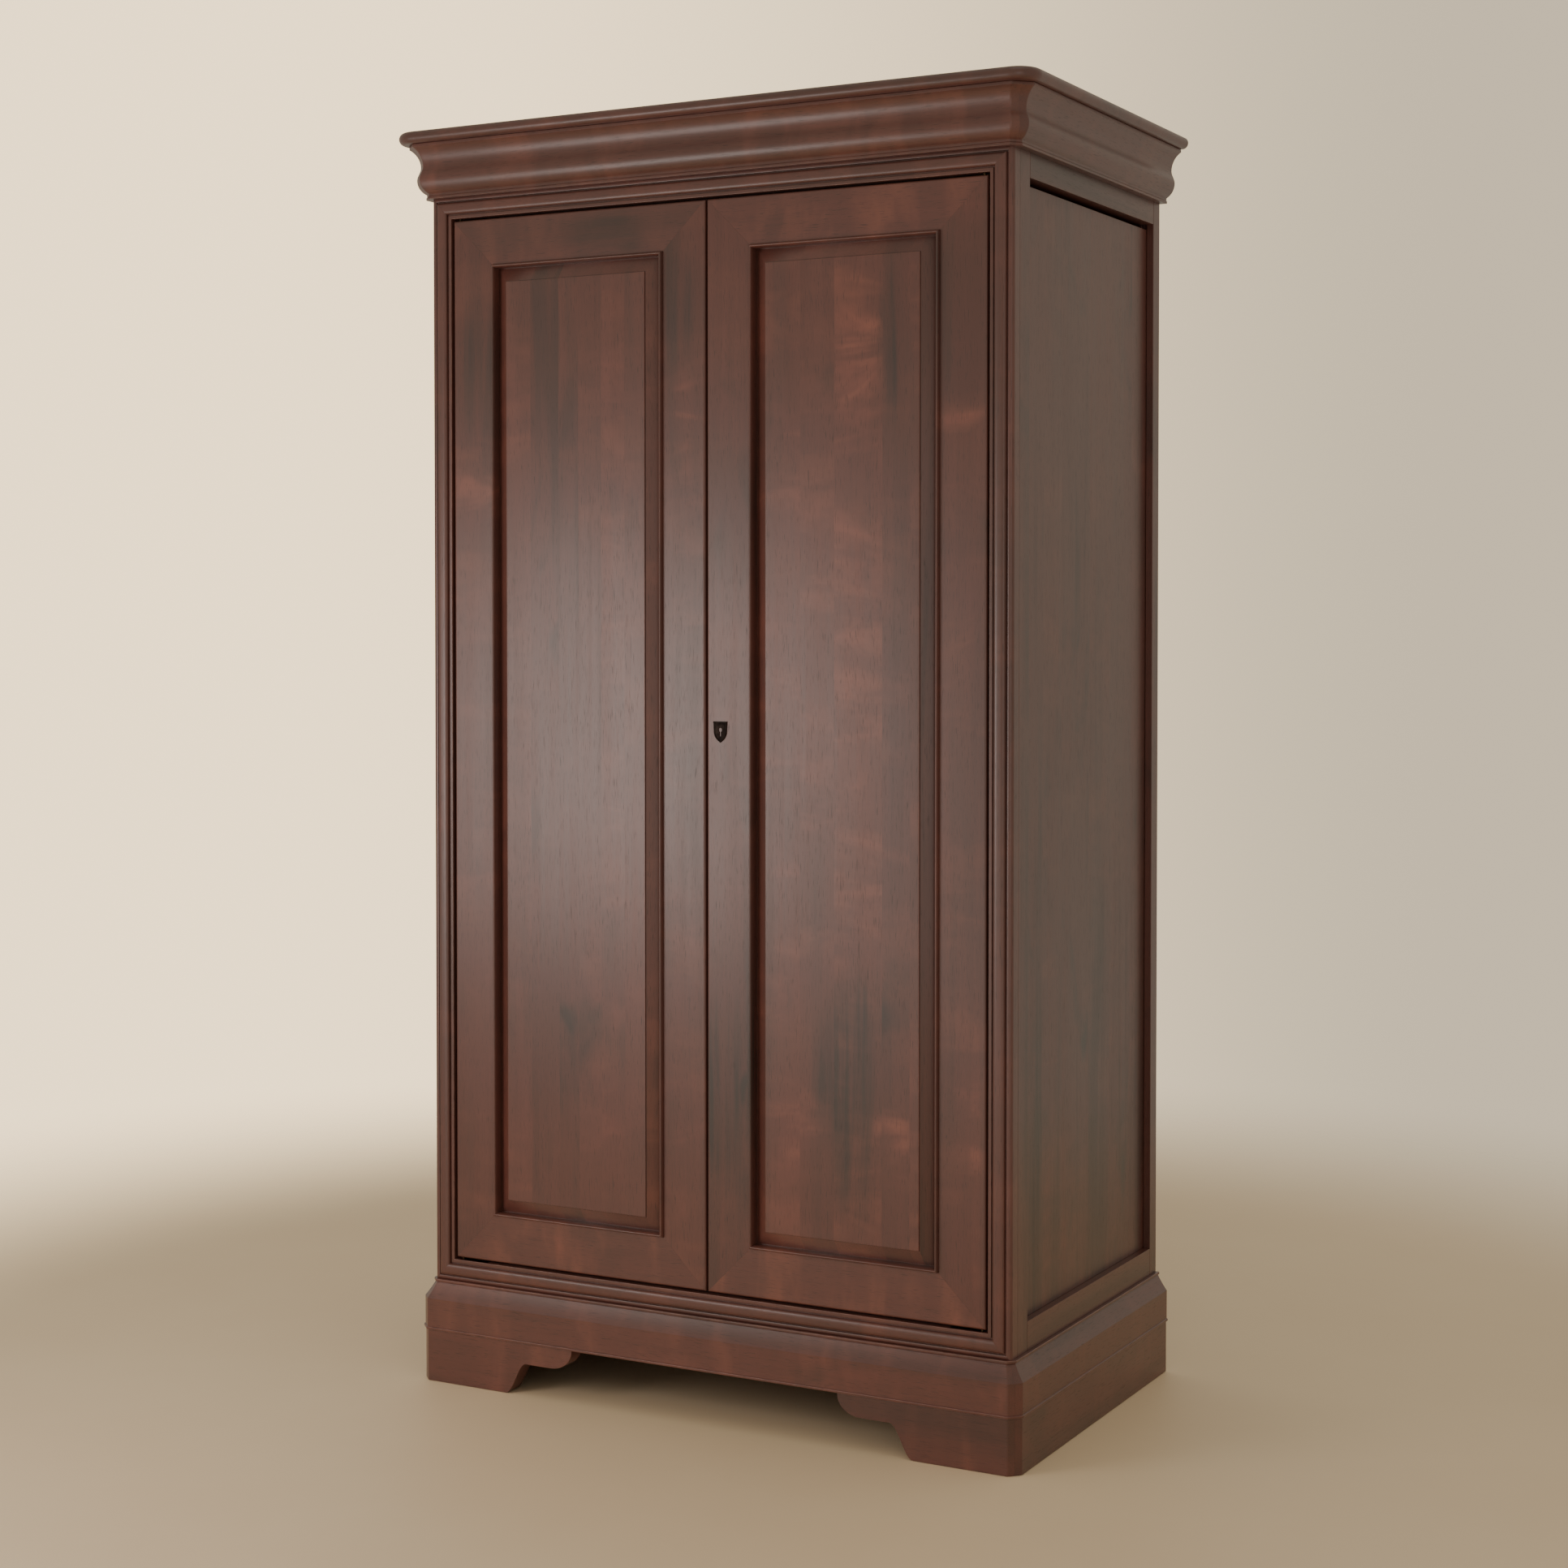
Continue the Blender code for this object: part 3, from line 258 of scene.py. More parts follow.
class Graph:
    """Adds nodes to a node tree and links them."""

    def __init__(self, tree):
        self.tree = tree

    def add(self, kind, inputs=None, **settings):
        node = self.tree.nodes.new(kind)
        for key, value in settings.items():
            setattr(node, key, value)
        for key, value in (inputs or {}).items():
            if isinstance(value, bpy.types.NodeSocket):
                self.tree.links.new(value, node.inputs[key])
            else:
                node.inputs[key].default_value = value
        return node

    def math(self, operation, a, b=0.0, clamp=False):
        return self.add("ShaderNodeMath", {0: a, 1: b}, operation=operation, use_clamp=clamp).outputs[0]

    def scaled(self, vector, scale, offset=(0, 0, 0)):
        """vector times scale plus offset, part by part."""
        inputs = {0: vector, 1: scale, 2: offset}
        return self.add("ShaderNodeVectorMath", inputs, operation="MULTIPLY_ADD").outputs[0]

    def noise(self, vector, seed=0.0, detail=2.0, roughness=0.5, distortion=0.0):
        inputs = {"Vector": vector, "W": seed, "Scale": 1.0, "Detail": detail}
        inputs.update({"Roughness": roughness, "Distortion": distortion})
        return self.add("ShaderNodeTexNoise", inputs, noise_dimensions="4D").outputs[0]

    def rise(self, value, low, high, top=1.0):
        """0 below low, top above high, smooth between them."""
        inputs = {"Value": value, "From Min": low, "From Max": high, "To Max": top}
        return self.add("ShaderNodeMapRange", inputs, interpolation_type="SMOOTHSTEP").outputs[0]

    def mix(self, share, a, b):
        node = self.add("ShaderNodeMix", data_type="RGBA")
        for key, value in ((0, share), (6, a), (7, b)):
            if isinstance(value, bpy.types.NodeSocket):
                self.tree.links.new(value, node.inputs[key])
            else:
                node.inputs[key].default_value = (*value, 1.0) if key else value
        return node.outputs[2]

    # The vertex value of rubbed wear, and of dark wax with painted shade in the quirks.
    def wear_and_shade(self):
        return self.add("ShaderNodeAttribute", attribute_name="wear_and_shade").outputs["Fac"]


# Mahogany, in linear colours
HEARTWOOD = (0.098, 0.036, 0.029)
RED_WOOD = (0.168, 0.052, 0.040)
DARK_STREAK = (0.042, 0.025, 0.021)
PINK_FIGURE = (0.285, 0.092, 0.062)
PORE = (0.030, 0.014, 0.012)
WORN = (0.300, 0.145, 0.105)
# Old wax in the quirks, which also stands in for their painted shade.
WAX_AND_QUIRK_SHADE = (0.030, 0.010, 0.006)


# Grain, in repeats per metre across the board, through it and along it
BEND = (2.6, 2.6, 1.1)
FIBRE = (420, 420, 9)
STREAK = (70, 70, 1.6)
BAND = (13, 13, 0.9)
CLOUD = (8, 8, 3.4)
FLAME = (6, 6, 15)
PORES = (1100, 1100, 55)


def grain_group():
    """Mahogany in grain space: x across the board, y through it, z along it."""
    tree = bpy.data.node_groups.new("mahogany_grain", "ShaderNodeTree")
    sockets = (("Vector", "NodeSocketVector"), ("Seed", "NodeSocketFloat"), ("Dark", "NodeSocketFloat"))
    for name, kind in sockets + (("Warm", "NodeSocketFloat"), ("Light", "NodeSocketFloat")):
        tree.interface.new_socket(name, in_out="INPUT", socket_type=kind)
    results = (("Color", "NodeSocketColor"), ("Roughness", "NodeSocketFloat"), ("Height", "NodeSocketFloat"))
    for name, kind in results:
        tree.interface.new_socket(name, in_out="OUTPUT", socket_type=kind)
    g = Graph(tree)
    given = g.add("NodeGroupInput").outputs
    seed = given["Seed"]

    bend = g.noise(g.scaled(given["Vector"], BEND), seed, 2.0, 0.5)
    shift = g.math("MULTIPLY", g.math("SUBTRACT", bend, 0.5), 0.05)
    offset = g.add("ShaderNodeCombineXYZ", {"X": shift, "Y": shift}).outputs[0]
    grain = g.add("ShaderNodeVectorMath", {0: given["Vector"], 1: offset}, operation="ADD").outputs[0]

    fibre = g.noise(g.scaled(grain, FIBRE), seed, 3.0, 0.6)
    streak = g.noise(g.scaled(grain, STREAK), seed, 4.0, 0.62)
    band = g.noise(g.scaled(grain, BAND), seed, 3.0, 0.55)
    cloud = g.noise(g.scaled(grain, CLOUD), seed, 3.0, 0.6, 0.9)
    flame = g.noise(g.scaled(grain, FLAME), seed, 3.0, 0.55, 0.7)
    pore = g.noise(g.scaled(grain, PORES), seed, 1.0, 0.5)

    tone = g.math("MULTIPLY_ADD", streak, 0.9)
    tone.node.inputs[2].default_value = -0.20
    tone = g.math("ADD", tone, g.math("MULTIPLY", g.math("SUBTRACT", fibre, 0.5), 0.55))
    tone = g.math("ADD", tone, given["Light"], clamp=True)
    colour = g.mix(tone, HEARTWOOD, RED_WOOD)
    ragged_band = g.math("ADD", band, g.math("MULTIPLY", g.math("SUBTRACT", streak, 0.5), 0.45))
    ribbon = g.rise(ragged_band, 0.46, 0.68)
    darkest = g.math("MAXIMUM", ribbon, g.rise(cloud, 0.52, 0.72))
    shade = g.math("MULTIPLY", darkest, given["Dark"], clamp=True)
    colour = g.mix(shade, colour, DARK_STREAK)
    flare = g.math("MULTIPLY", g.rise(flame, 0.44, 0.74, 0.8), given["Warm"])
    flare = g.math("MULTIPLY", flare, g.math("SUBTRACT", 1.0, g.math("MULTIPLY", shade, 0.7)), clamp=True)
    colour = g.mix(flare, colour, PINK_FIGURE)
    pores = g.rise(pore, 0.60, 0.70)
    colour = g.mix(g.math("MULTIPLY", pores, 0.55), colour, PORE)

    rough = g.math("ADD", g.math("MULTIPLY", streak, 0.16), g.math("MULTIPLY", pores, 0.12))
    height = g.math("SUBTRACT", g.math("MULTIPLY", fibre, 0.35), g.math("MULTIPLY", pores, 0.8))
    outputs = {"Color": colour, "Roughness": g.math("ADD", rough, 0.30), "Height": height}
    g.add("NodeGroupOutput", outputs)
    return tree


GRAIN = grain_group()
GRAIN_SPACE = {"x": ("Z", "Y", "X"), "y": ("Z", "X", "Y"), "z": ("X", "Y", "Z")}


def wood(name, along, seed, dark=0.5, warm=0.3, light=0.0, staves=None, patches=()):
    """Satin mahogany with its grain along x, y or z.

    staves is (axis, low, high, ((start share, dark, warm, light), ...)): boards glued edge to edge.
    patches are (centre, reach, dark, warm, light): ellipsoids where the figure is stronger or weaker.
    """
    made = bpy.data.materials.new(name)
    made.use_nodes = True
    g = Graph(made.node_tree)
    shader = made.node_tree.nodes["Principled BSDF"]
    place = g.add("ShaderNodeTexCoord").outputs["Object"]
    parts = g.add("ShaderNodeSeparateXYZ", {0: place}).outputs
    order = GRAIN_SPACE[along]
    vector = g.add("ShaderNodeCombineXYZ", {key: parts[part] for key, part in zip("XYZ", order)}).outputs[0]
    amounts = {"Dark": dark, "Warm": warm, "Light": light}
    seed_value = seed
    if staves:
        axis, low, high, boards = staves
        span = {"Value": parts[axis], "From Min": low, "From Max": high}
        share = g.add("ShaderNodeMapRange", span).outputs[0]
        amounts, number = stave_values(g, share, boards)
        seed_value = g.math("ADD", number, seed)
    for centre, reach, more_dark, more_warm, more_light in patches:
        mask = patch_mask(g, place, centre, reach, seed)
        for key, more in (("Dark", more_dark), ("Warm", more_warm), ("Light", more_light)):
            amounts[key] = g.math("ADD", amounts[key], g.math("MULTIPLY", mask, more))
    for key in ("Dark", "Warm"):
        if isinstance(amounts[key], bpy.types.NodeSocket):
            amounts[key] = g.math("MAXIMUM", amounts[key], 0.0)
    grain = g.add("ShaderNodeGroup", node_tree=GRAIN)
    for key, value in (("Vector", vector), ("Seed", seed_value), *amounts.items()):
        if isinstance(value, bpy.types.NodeSocket):
            made.node_tree.links.new(value, grain.inputs[key])
        else:
            grain.inputs[key].default_value = value
    finish_wood(g, shader, grain, place)
    return made


def stave_values(g, share, boards):
    """Dark, warm, light and a number for each glued board, read off a stepped ramp."""
    ramp = g.add("ShaderNodeValToRGB", {"Fac": share})
    ramp.color_ramp.interpolation = "CONSTANT"
    for i, (start, dark, warm, light) in enumerate(boards):
        stop = ramp.color_ramp.elements[0] if i == 0 else ramp.color_ramp.elements.new(start)
        stop.position = start
        stop.color = (dark, warm, light + 0.5, i / 10)
    ramp.color_ramp.elements.remove(ramp.color_ramp.elements[-1])
    values = g.add("ShaderNodeSeparateColor", {0: ramp.outputs["Color"]}).outputs
    number = g.math("MULTIPLY", ramp.outputs["Alpha"], 37.0)
    return {"Dark": values[0], "Warm": values[1], "Light": g.math("SUBTRACT", values[2], 0.5)}, number


def patch_mask(g, place, centre, reach, seed):
    """1 at the centre of an ellipsoid, 0 outside it, with a ragged edge."""
    scale = [1 / r for r in reach]
    offset = [-c / r for c, r in zip(centre, reach)]
    inside = g.scaled(place, scale, offset)
    distance = g.add("ShaderNodeVectorMath", {0: inside}, operation="LENGTH").outputs["Value"]
    rough_edge = g.noise(g.scaled(place, (9, 9, 5)), seed + 3.0, 3.0)
    ragged = g.math("MULTIPLY", g.math("SUBTRACT", rough_edge, 0.5), 1.3)
    return g.rise(g.math("ADD", distance, ragged), 1.0, 0.25)


def finish_wood(g, shader, grain, place):
    """Lacquer, rubbed arrises, dark wax and painted shade in the quirks, and a fine bump."""
    wear_and_shade = g.wear_and_shade()
    scuff = g.noise(g.scaled(place, (38, 38, 38)), 5.0, 3.0, 0.65)
    rubbed = g.math("MULTIPLY", g.rise(wear_and_shade, 0.35, 1.0), g.rise(scuff, 0.38, 0.66, 0.55))
    colour = g.mix(rubbed, grain.outputs["Color"], WORN)
    # Quirks are painted darker: old wax, and the shade that falls in them painted in.
    quirk_wax_and_shade = g.math("MULTIPLY", g.rise(g.math("MULTIPLY", wear_and_shade, -1.0), 0.2, 1.0), 0.75)
    colour = g.mix(quirk_wax_and_shade, colour, WAX_AND_QUIRK_SHADE)
    g.tree.links.new(colour, shader.inputs["Base Color"])
    smudge = g.noise(g.scaled(place, (5, 5, 3)), 9.0, 4.0, 0.6)
    smudged = g.math("MULTIPLY", g.math("SUBTRACT", smudge, 0.5), 0.10)
    rough = g.math("ADD", grain.outputs["Roughness"], smudged)
    rough = g.math("ADD", rough, g.math("MULTIPLY", rubbed, 0.12), clamp=True)
    g.tree.links.new(rough, shader.inputs["Roughness"])
    bump = g.add("ShaderNodeBump", {"Height": grain.outputs["Height"], "Strength": 0.10, "Distance": 0.0004})
    g.tree.links.new(bump.outputs[0], shader.inputs["Normal"])
    shader.inputs["IOR"].default_value = 1.52
    shader.inputs["Coat Weight"].default_value = 0.25
    shader.inputs["Coat Roughness"].default_value = 0.28


def metal(name, colour, dull, roughness, streaks=(60, 60, 60)):
    """Metal with a patina in patches, fine scratches and brighter rubbed edges."""
    made = bpy.data.materials.new(name)
    made.use_nodes = True
    g = Graph(made.node_tree)
    shader = made.node_tree.nodes["Principled BSDF"]
    place = g.add("ShaderNodeTexCoord").outputs["Object"]
    patina = g.noise(g.scaled(place, (70, 70, 70)), 2.0, 4.0, 0.65)
    scratch = g.noise(g.scaled(place, [12 * s for s in streaks]), 4.0, 2.0, 0.5)
    base = g.mix(g.rise(patina, 0.35, 0.68), colour, dull)
    rubbed = g.math("MULTIPLY", g.rise(g.wear_and_shade(), 0.2, 1.0), 0.6)
    bright = [min(1.0, 1.7 * c) for c in colour]
    g.tree.links.new(g.mix(rubbed, base, bright), shader.inputs["Base Color"])
    rough = g.math("ADD", g.math("MULTIPLY", patina, 0.25), g.math("MULTIPLY", scratch, 0.12))
    g.tree.links.new(g.math("ADD", rough, roughness - 0.18, clamp=True), shader.inputs["Roughness"])
    bump = g.add("ShaderNodeBump", {"Height": scratch, "Strength": 0.15, "Distance": 0.0002})
    g.tree.links.new(bump.outputs[0], shader.inputs["Normal"])
    shader.inputs["Metallic"].default_value = 1.0
    return made


# Mouldings that follow the carcass round its front corners


def corner_cant(outset):
    """A moulding's corner is cut off wider the further out it stands. Its inner face stays square."""
    return CORNER_CANT + CORNER_GROWTH * outset if outset > FIT_GAP else 0.0


def corner_ring(profile, side, share, run):
    """A section on the canted corner: share 0 meets the front run, 1 the side run, 0.5 is the mitre."""
    ring = []
    for point in profile:
        cant = corner_cant(point[0])
        along = min(max(share, 0.0), 1.0)
        x = HALF_WIDTH + point[0] - cant * (1 - along) + cant * min(share, 0.0)
        y = FRONT - point[0] + cant * along + cant * max(share - 1, 0.0)
        if share in CANT_ARRIS:
            x -= cant * CANT_ARRIS[share][0]
            y += cant * CANT_ARRIS[share][1]
        at_mitre = share == 0.5 or cant == 0.0
        if at_mitre and run == "front":
            x -= MITRE_GAP
        if at_mitre and run == "side":
            y += MITRE_GAP
        ring.append((side * x, y, point[1]))
    return ring


def front_run(name, outline, finish):
    """The front length of a moulding, from mitre to mitre."""
    profile = softened(outline)
    shares = (0.5, CANT_EASE, 0.0, -CANT_EASE)
    rings = [corner_ring(profile, -1, share, "front") for share in shares]
    rings += [corner_ring(profile, 1, share, "front") for share in reversed(shares)]
    mesh = lofted(name, rings, [point[2] for point in profile])
    return add_piece(name + "_fine", mesh, finish, "carcass", name, smooth=MOULDING_SMOOTH)


def side_run(name, outline, side, finish):
    """The side length of a moulding, from its mitre to the back of the carcass."""
    profile = softened(outline)
    rings = [corner_ring(profile, side, share, "side") for share in (0.5, 1 - CANT_EASE, 1.0, 1 + CANT_EASE)]
    rings.append([(side * (HALF_WIDTH + point[0]), BACK, point[1]) for point in profile])
    mesh = lofted(name, rings, [point[2] for point in profile])
    return add_piece(name + "_fine", mesh, finish, "carcass", name, smooth=MOULDING_SMOOTH)


def cornice_outer():
    """Lip, swelling ogee, cove and fillet, from the bottom up."""
    bottom = CORNICE[0].z
    top = CORNICE[1].z
    lip = 0.0125
    neck = (0.0115, 1.904)
    bulge = (0.0254, 1.9275)
    bulge_radius = 0.026
    waist = (0.020, 1.9475)
    cove_radius = 0.034
    fillet = (FRONT - CORNICE[0].y, 1.976)
    points = [(lip, bottom, 0.0008), (lip, bottom + 0.0035, 0.0012), (neck[0], bottom + 0.0048), neck]
    points += arc((bulge[0] - bulge_radius, bulge[1]), (bulge_radius, bulge_radius), -60, 0, 14)
    points += sway(bulge, waist, 12)[1:]
    points += arc((waist[0] + cove_radius, waist[1]), (-cove_radius, cove_radius), 0, 57, 14)[1:]
    points.append((fillet[0], fillet[1], 0.0003))
    points.append((fillet[0], top, 0.0006))
    return points


def base_outer():
    """Bead, fascia, shallow hollow and lip, from the bottom up."""
    bottom = BASE[0].z
    top = BASE[1].z
    bead = FRONT - BASE[0].y
    fascia = 0.019
    neck = 0.003
    lip = 0.006
    lip_bottom = top - 0.004
    points = [(bead, bottom, 0.0010), (bead, bottom + 0.0035, 0.0010), (fascia, bottom + 0.0045)]
    points += hollow((fascia, 0.133), (neck, lip_bottom), 0.0006, 6)
    points.append((lip, lip_bottom, 0.0006))
    points.append((lip, top, 0.0012))
    return points


def build_base_moulding():
    inner = FIT_GAP - FRAME_THICKNESS
    under_frame = FRAME_SILL[0].z - FIT_GAP
    top = BASE[1].z
    bottom = BASE[0].z
    head = [(FIT_GAP, top), (FIT_GAP, under_frame), (inner, under_frame), (inner, bottom)]
    finish = wood("wood_base_front", "x", 21.3, dark=0.45, warm=0.4, light=0.1)
    front_run("base_moulding_front", head + base_outer(), finish)
    side = [(FIT_GAP, top), (FIT_GAP, bottom)] + base_outer()
    side_run("base_moulding_left", side, -1, wood("wood_base_left", "y", 22.1, dark=0.5, warm=0.2))
    side_run("base_moulding_right", side, 1, wood("wood_base_right", "y", 23.9, dark=0.5, warm=0.2))


def build_cornice():
    inner = FIT_GAP - FRAME_THICKNESS
    above_frame = FRAME_HEAD[1].z + FIT_GAP
    top = CORNICE[1].z
    bottom = CORNICE[0].z
    head = [(inner, top), (inner, above_frame), (FIT_GAP, above_frame), (FIT_GAP, bottom)]
    finish = wood("wood_cornice_front", "x", 31.7, dark=0.35, warm=0.4, light=0.1)
    front_run("cornice_front", head + cornice_outer(), finish)
    side = [(FIT_GAP, top), (FIT_GAP, bottom)] + cornice_outer()
    side_run("cornice_left", side, -1, wood("wood_cornice_left", "y", 32.4, dark=0.5, warm=0.2))
    side_run("cornice_right", side, 1, wood("wood_cornice_right", "y", 33.8, dark=0.5, warm=0.2))


def board_ring(outset, z):
    """The top board's outline at one level: rounded in front, square at the back."""
    overhang = TOP_BOARD[1].x - HALF_WIDTH
    radius = BOARD_CORNER_RADIUS - overhang + outset
    centre = (HALF_WIDTH + outset - radius, FRONT - outset + radius)
    corner = arc(centre, (radius, radius), -90, 0, 16)
    ring = [(-HALF_WIDTH - outset, BACK, z)]
    ring += [(-x, y, z) for x, y in reversed(corner)]
    ring += [(x, y, z) for x, y in corner]
    ring.append((HALF_WIDTH + outset, BACK, z))
    return ring


def build_top_board():
    low, high = TOP_BOARD
    nose = (high.z - low.z) / 2
    overhang = high.x - HALF_WIDTH
    rings = [board_ring(d, z) for d, z in arc((overhang - nose, low.z + nose), (nose, nose), -90, 90, 16)]
    mesh = lofted("cornice_top_board", rings, [0.0] * len(rings[0]))
    finish = wood("wood_top_board", "x", 41.2, dark=0.5, warm=0.3)
    add_piece("cornice_top_board_fine", mesh, finish, "carcass", "cornice_top_board")


# Plinth


def foot_outline(side):
    """A bracket foot in front view: a scroll, a short flat and a quarter-round arch."""
    height = FOOT[1].z
    floor_end = 0.357
    step_outer = 0.319
    step_inner = 0.272
    arch_end = FOOT[0].x
    step = 0.050
    tip = 0.0015
    points = [(floor_end, 0.0)]
    points += [(x, z) for z, x in sway((0.0, floor_end), (step, step_outer), 14)][1:]
    quarter = (arch_end - step_inner, step - height + tip)
    points += arc((step_inner, height - tip), quarter, 90, 0, 12)
    points.append((arch_end, height))
    outer = HALF_WIDTH + 0.10
    points += [(outer, height), (outer, 0.0)]
    return [(side * x, z) for x, z in points]


def mitre_test(side, outset):
    """A test for edges along a foot's mitre face, which stays tight against the side board."""
    reach = 0.0012
    arris = 0.004

    def on_mitre(edge):
        middle = (edge.verts[0].co + edge.verts[1].co) / 2
        past_mitre = side * middle.x - HALF_WIDTH + middle.y - FRONT
        return past_mitre > -reach and middle.y > FRONT - outset + arris

    return on_mitre


def build_feet():
    """Each foot is its front outline cut by its plan: canted at the corner and mitred to the side board."""
    outset = FRONT - FOOT[0].y
    inside = FOOT[1].y - FRONT
    for side, hand in ((-1, "left"), (1, "right")):
        name = "bracket_foot_" + hand
        front = prism(name, foot_outline(side), "y", FRONT - 0.1, FRONT + 0.1)
        shares = (-CANT_EASE, 0.0, CANT_EASE, 0.5)
        plan = [(side * 0.1, FRONT - outset)]
        plan += [corner_ring([(outset, 0.0)], side, share, "front")[0][:2] for share in shares]
        plan.append(corner_ring([(-inside, 0.0)], side, 0.5, "front")[0][:2])
        plan.append((side * 0.1, FRONT + inside))
        footprint = prism(name + "_plan", plan, "z", -0.1, 0.2)
        mesh = combined(name, front, footprint, "INTERSECT")
        soften_edges(mesh, 0.0009, 30, mitre_test(side, outset))
        finish = wood("wood_foot_" + hand, "x", 51.0 + side * 3.3, dark=0.5, warm=0.35)
        add_piece(name + "_fine", mesh, finish, "carcass", name)


def build_plinth_sides():
    low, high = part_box("plinth_side_right")
    outset = high.x - HALF_WIDTH
    inside = HALF_WIDTH - low.x
    section = [(outset, 0.0, 0.0012), (outset, high.z, 0.0009), (-inside, high.z), (-inside, 0.0)]
    side_run("plinth_side_left", section, -1, wood("wood_plinth_left", "y", 56.0, dark=0.5, warm=0.2))
    side_run("plinth_side_right", section, 1, wood("wood_plinth_right", "y", 57.5, dark=0.5, warm=0.2))


# Face frame


def face_profile():
    """(distance from the opening, proud of the front), with softened arrises."""
    width = FRAME_STILE[1].x - FRAME_STILE[0].x
    proud = FRONT - FRAME_STILE[0].y
    quirk = 0.0025
    torus = (0.0076, 0.0264)
    fullness = 0.62
    points = [(0.0, -FRAME_THICKNESS), (0.0, 0.0, 0.0009), (0.0052, 0.0, 0.0006), (0.0055, -quirk, 0.0004)]
    for cosine, sine in arc((0.0, 0.0), (-1.0, 1.0), 0, 180, 30):
        across = math.copysign(abs(cosine) ** fullness, cosine)
        t = torus[0] + (torus[1] - torus[0]) / 2 * (1 + across)
        points.append((t, (proud + quirk) * max(sine, 0.0) ** fullness - quirk))
    points += [(0.0280, -quirk, 0.0004), (0.0286, -0.0004), (0.0296, 0.0)]
    rounding = 0.006
    points += arc((width - rounding, -rounding), (rounding, rounding), 86, 0, 8)
    points.append((width, -FRAME_THICKNESS))
    return points


def build_face_frame():
    half = FRAME_STILE[0].x
    bottom = FRAME_SILL[1].z
    top = FRAME_HEAD[0].z
    profile = softened(face_profile())
    wear_and_shade = [point[2] for point in profile]
    looks = {-1: dict(dark=0.45, warm=0.15, light=0.05), 1: dict(dark=0.40, warm=0.20, light=0.05)}
    for side, hand in ((-1, "left"), (1, "right")):
        low = [(side * (half + t), FRONT - h, bottom - t + MITRE_GAP) for t, h, _ in profile]
        high = [(side * (half + t), FRONT - h, top + t - MITRE_GAP) for t, h, _ in profile]
        name = f"face_frame_{hand}_stile"
        finish = wood("wood_" + name, "z", 61.0 + 2.7 * side, **looks[side])
        add_piece(name + "_fine", lofted(name, [low, high], wear_and_shade), finish, "carcass", name)
    for level, edge, way in (("bottom", bottom, -1), ("top", top, 1)):
        left = [(-half - t + MITRE_GAP, FRONT - h, edge + way * t) for t, h, _ in profile]
        right = [(half + t - MITRE_GAP, FRONT - h, edge + way * t) for t, h, _ in profile]
        name = f"face_frame_{level}_rail"
        finish = wood("wood_" + name, "x", 66.0 + 1.9 * way, dark=0.4, warm=0.25, light=0.05)
        add_piece(name + "_fine", lofted(name, [left, right], wear_and_shade), finish, "carcass", name)


# Doors


def member_profile(width):
    """(distance from the sight edge, proud of the door's face): bead, quirk, flat, softened outer edge."""
    bead = 0.0055
    bead_proud = DOOR_FRONT - DOOR_HINGE_STILE[0].y
    groove_back = 0.0183
    groove_front = 0.0117
    groove_depth = 0.009
    points = [(0.0, -FRAME_THICKNESS, 0.0010), (0.0, -groove_back), (groove_depth, -groove_back)]
    points += [(groove_depth, -groove_front), (0.0, -groove_front, 0.0004)]
    points += arc((bead / 2, 0.0), (-bead / 2, bead_proud), 0, 177, 14)
    points += [(bead + 0.0001, -0.0004), (bead + 0.0006, 0.0)]
    rounding = 0.0035
    points += arc((width - rounding, -rounding), (rounding, rounding), 90, 0, 8)
    points += [(width, -FRAME_THICKNESS, 0.0010)]
    return points


def sight_rectangle():
    """A door's stile width, then its sight edges: meeting side, hinge side, lower and upper."""
    stile = DOOR_HINGE_STILE[1].x - DOOR_HINGE_STILE[0].x
    hinge_edge = DOOR_HINGE_STILE[0].x
    meeting_edge = DOOR_MEETING_STILE[0].x + stile
    return stile, meeting_edge, hinge_edge, DOOR_SILL[1].z, DOOR_HEAD[0].z


def build_door(side, hand, looks):
    body = hand + "_door"
    stile, meeting_edge, hinge_edge, low_edge, high_edge = sight_rectangle()
    # A rail's box starts at the sight edge, as the profile does, so both edges are exact.
    sill = low_edge - DOOR_SILL[0].z
    head = DOOR_HEAD[1].z - high_edge
    profile = softened(member_profile(stile))
    wear_and_shade = [point[2] for point in profile]
    for part, edge, way in (("hinge_stile", hinge_edge, 1), ("meeting_stile", meeting_edge, -1)):
        low = []
        high = []
        for u, h, _ in profile:
            x = side * (edge + way * u)
            low.append((x, DOOR_FRONT - h, low_edge - u * sill / stile + MITRE_GAP))
            high.append((x, DOOR_FRONT - h, high_edge + u * head / stile - MITRE_GAP))
        name = f"{body}_{part}"
        finish = wood("wood_" + name, "z", **looks[part])
        add_piece(name + "_fine", lofted(name, [low, high], wear_and_shade), finish, body, name)
    for part, edge, way, width in (("bottom_rail", low_edge, -1, sill), ("top_rail", high_edge, 1, head)):
        near = []
        far = []
        profile = softened(member_profile(width))
        for v, h, _ in profile:
            share = v * stile / width
            z = edge + way * v
            near.append((side * (meeting_edge - share + MITRE_GAP), DOOR_FRONT - h, z))
            far.append((side * (hinge_edge + share - MITRE_GAP), DOOR_FRONT - h, z))
        name = f"{body}_{part}"
        finish = wood("wood_" + name, "x", **looks[part])
        add_piece(name + "_fine", lofted(name, [near, far], wear_and_shade), finish, body, name)
    build_door_panel(side, body, looks["panel"])


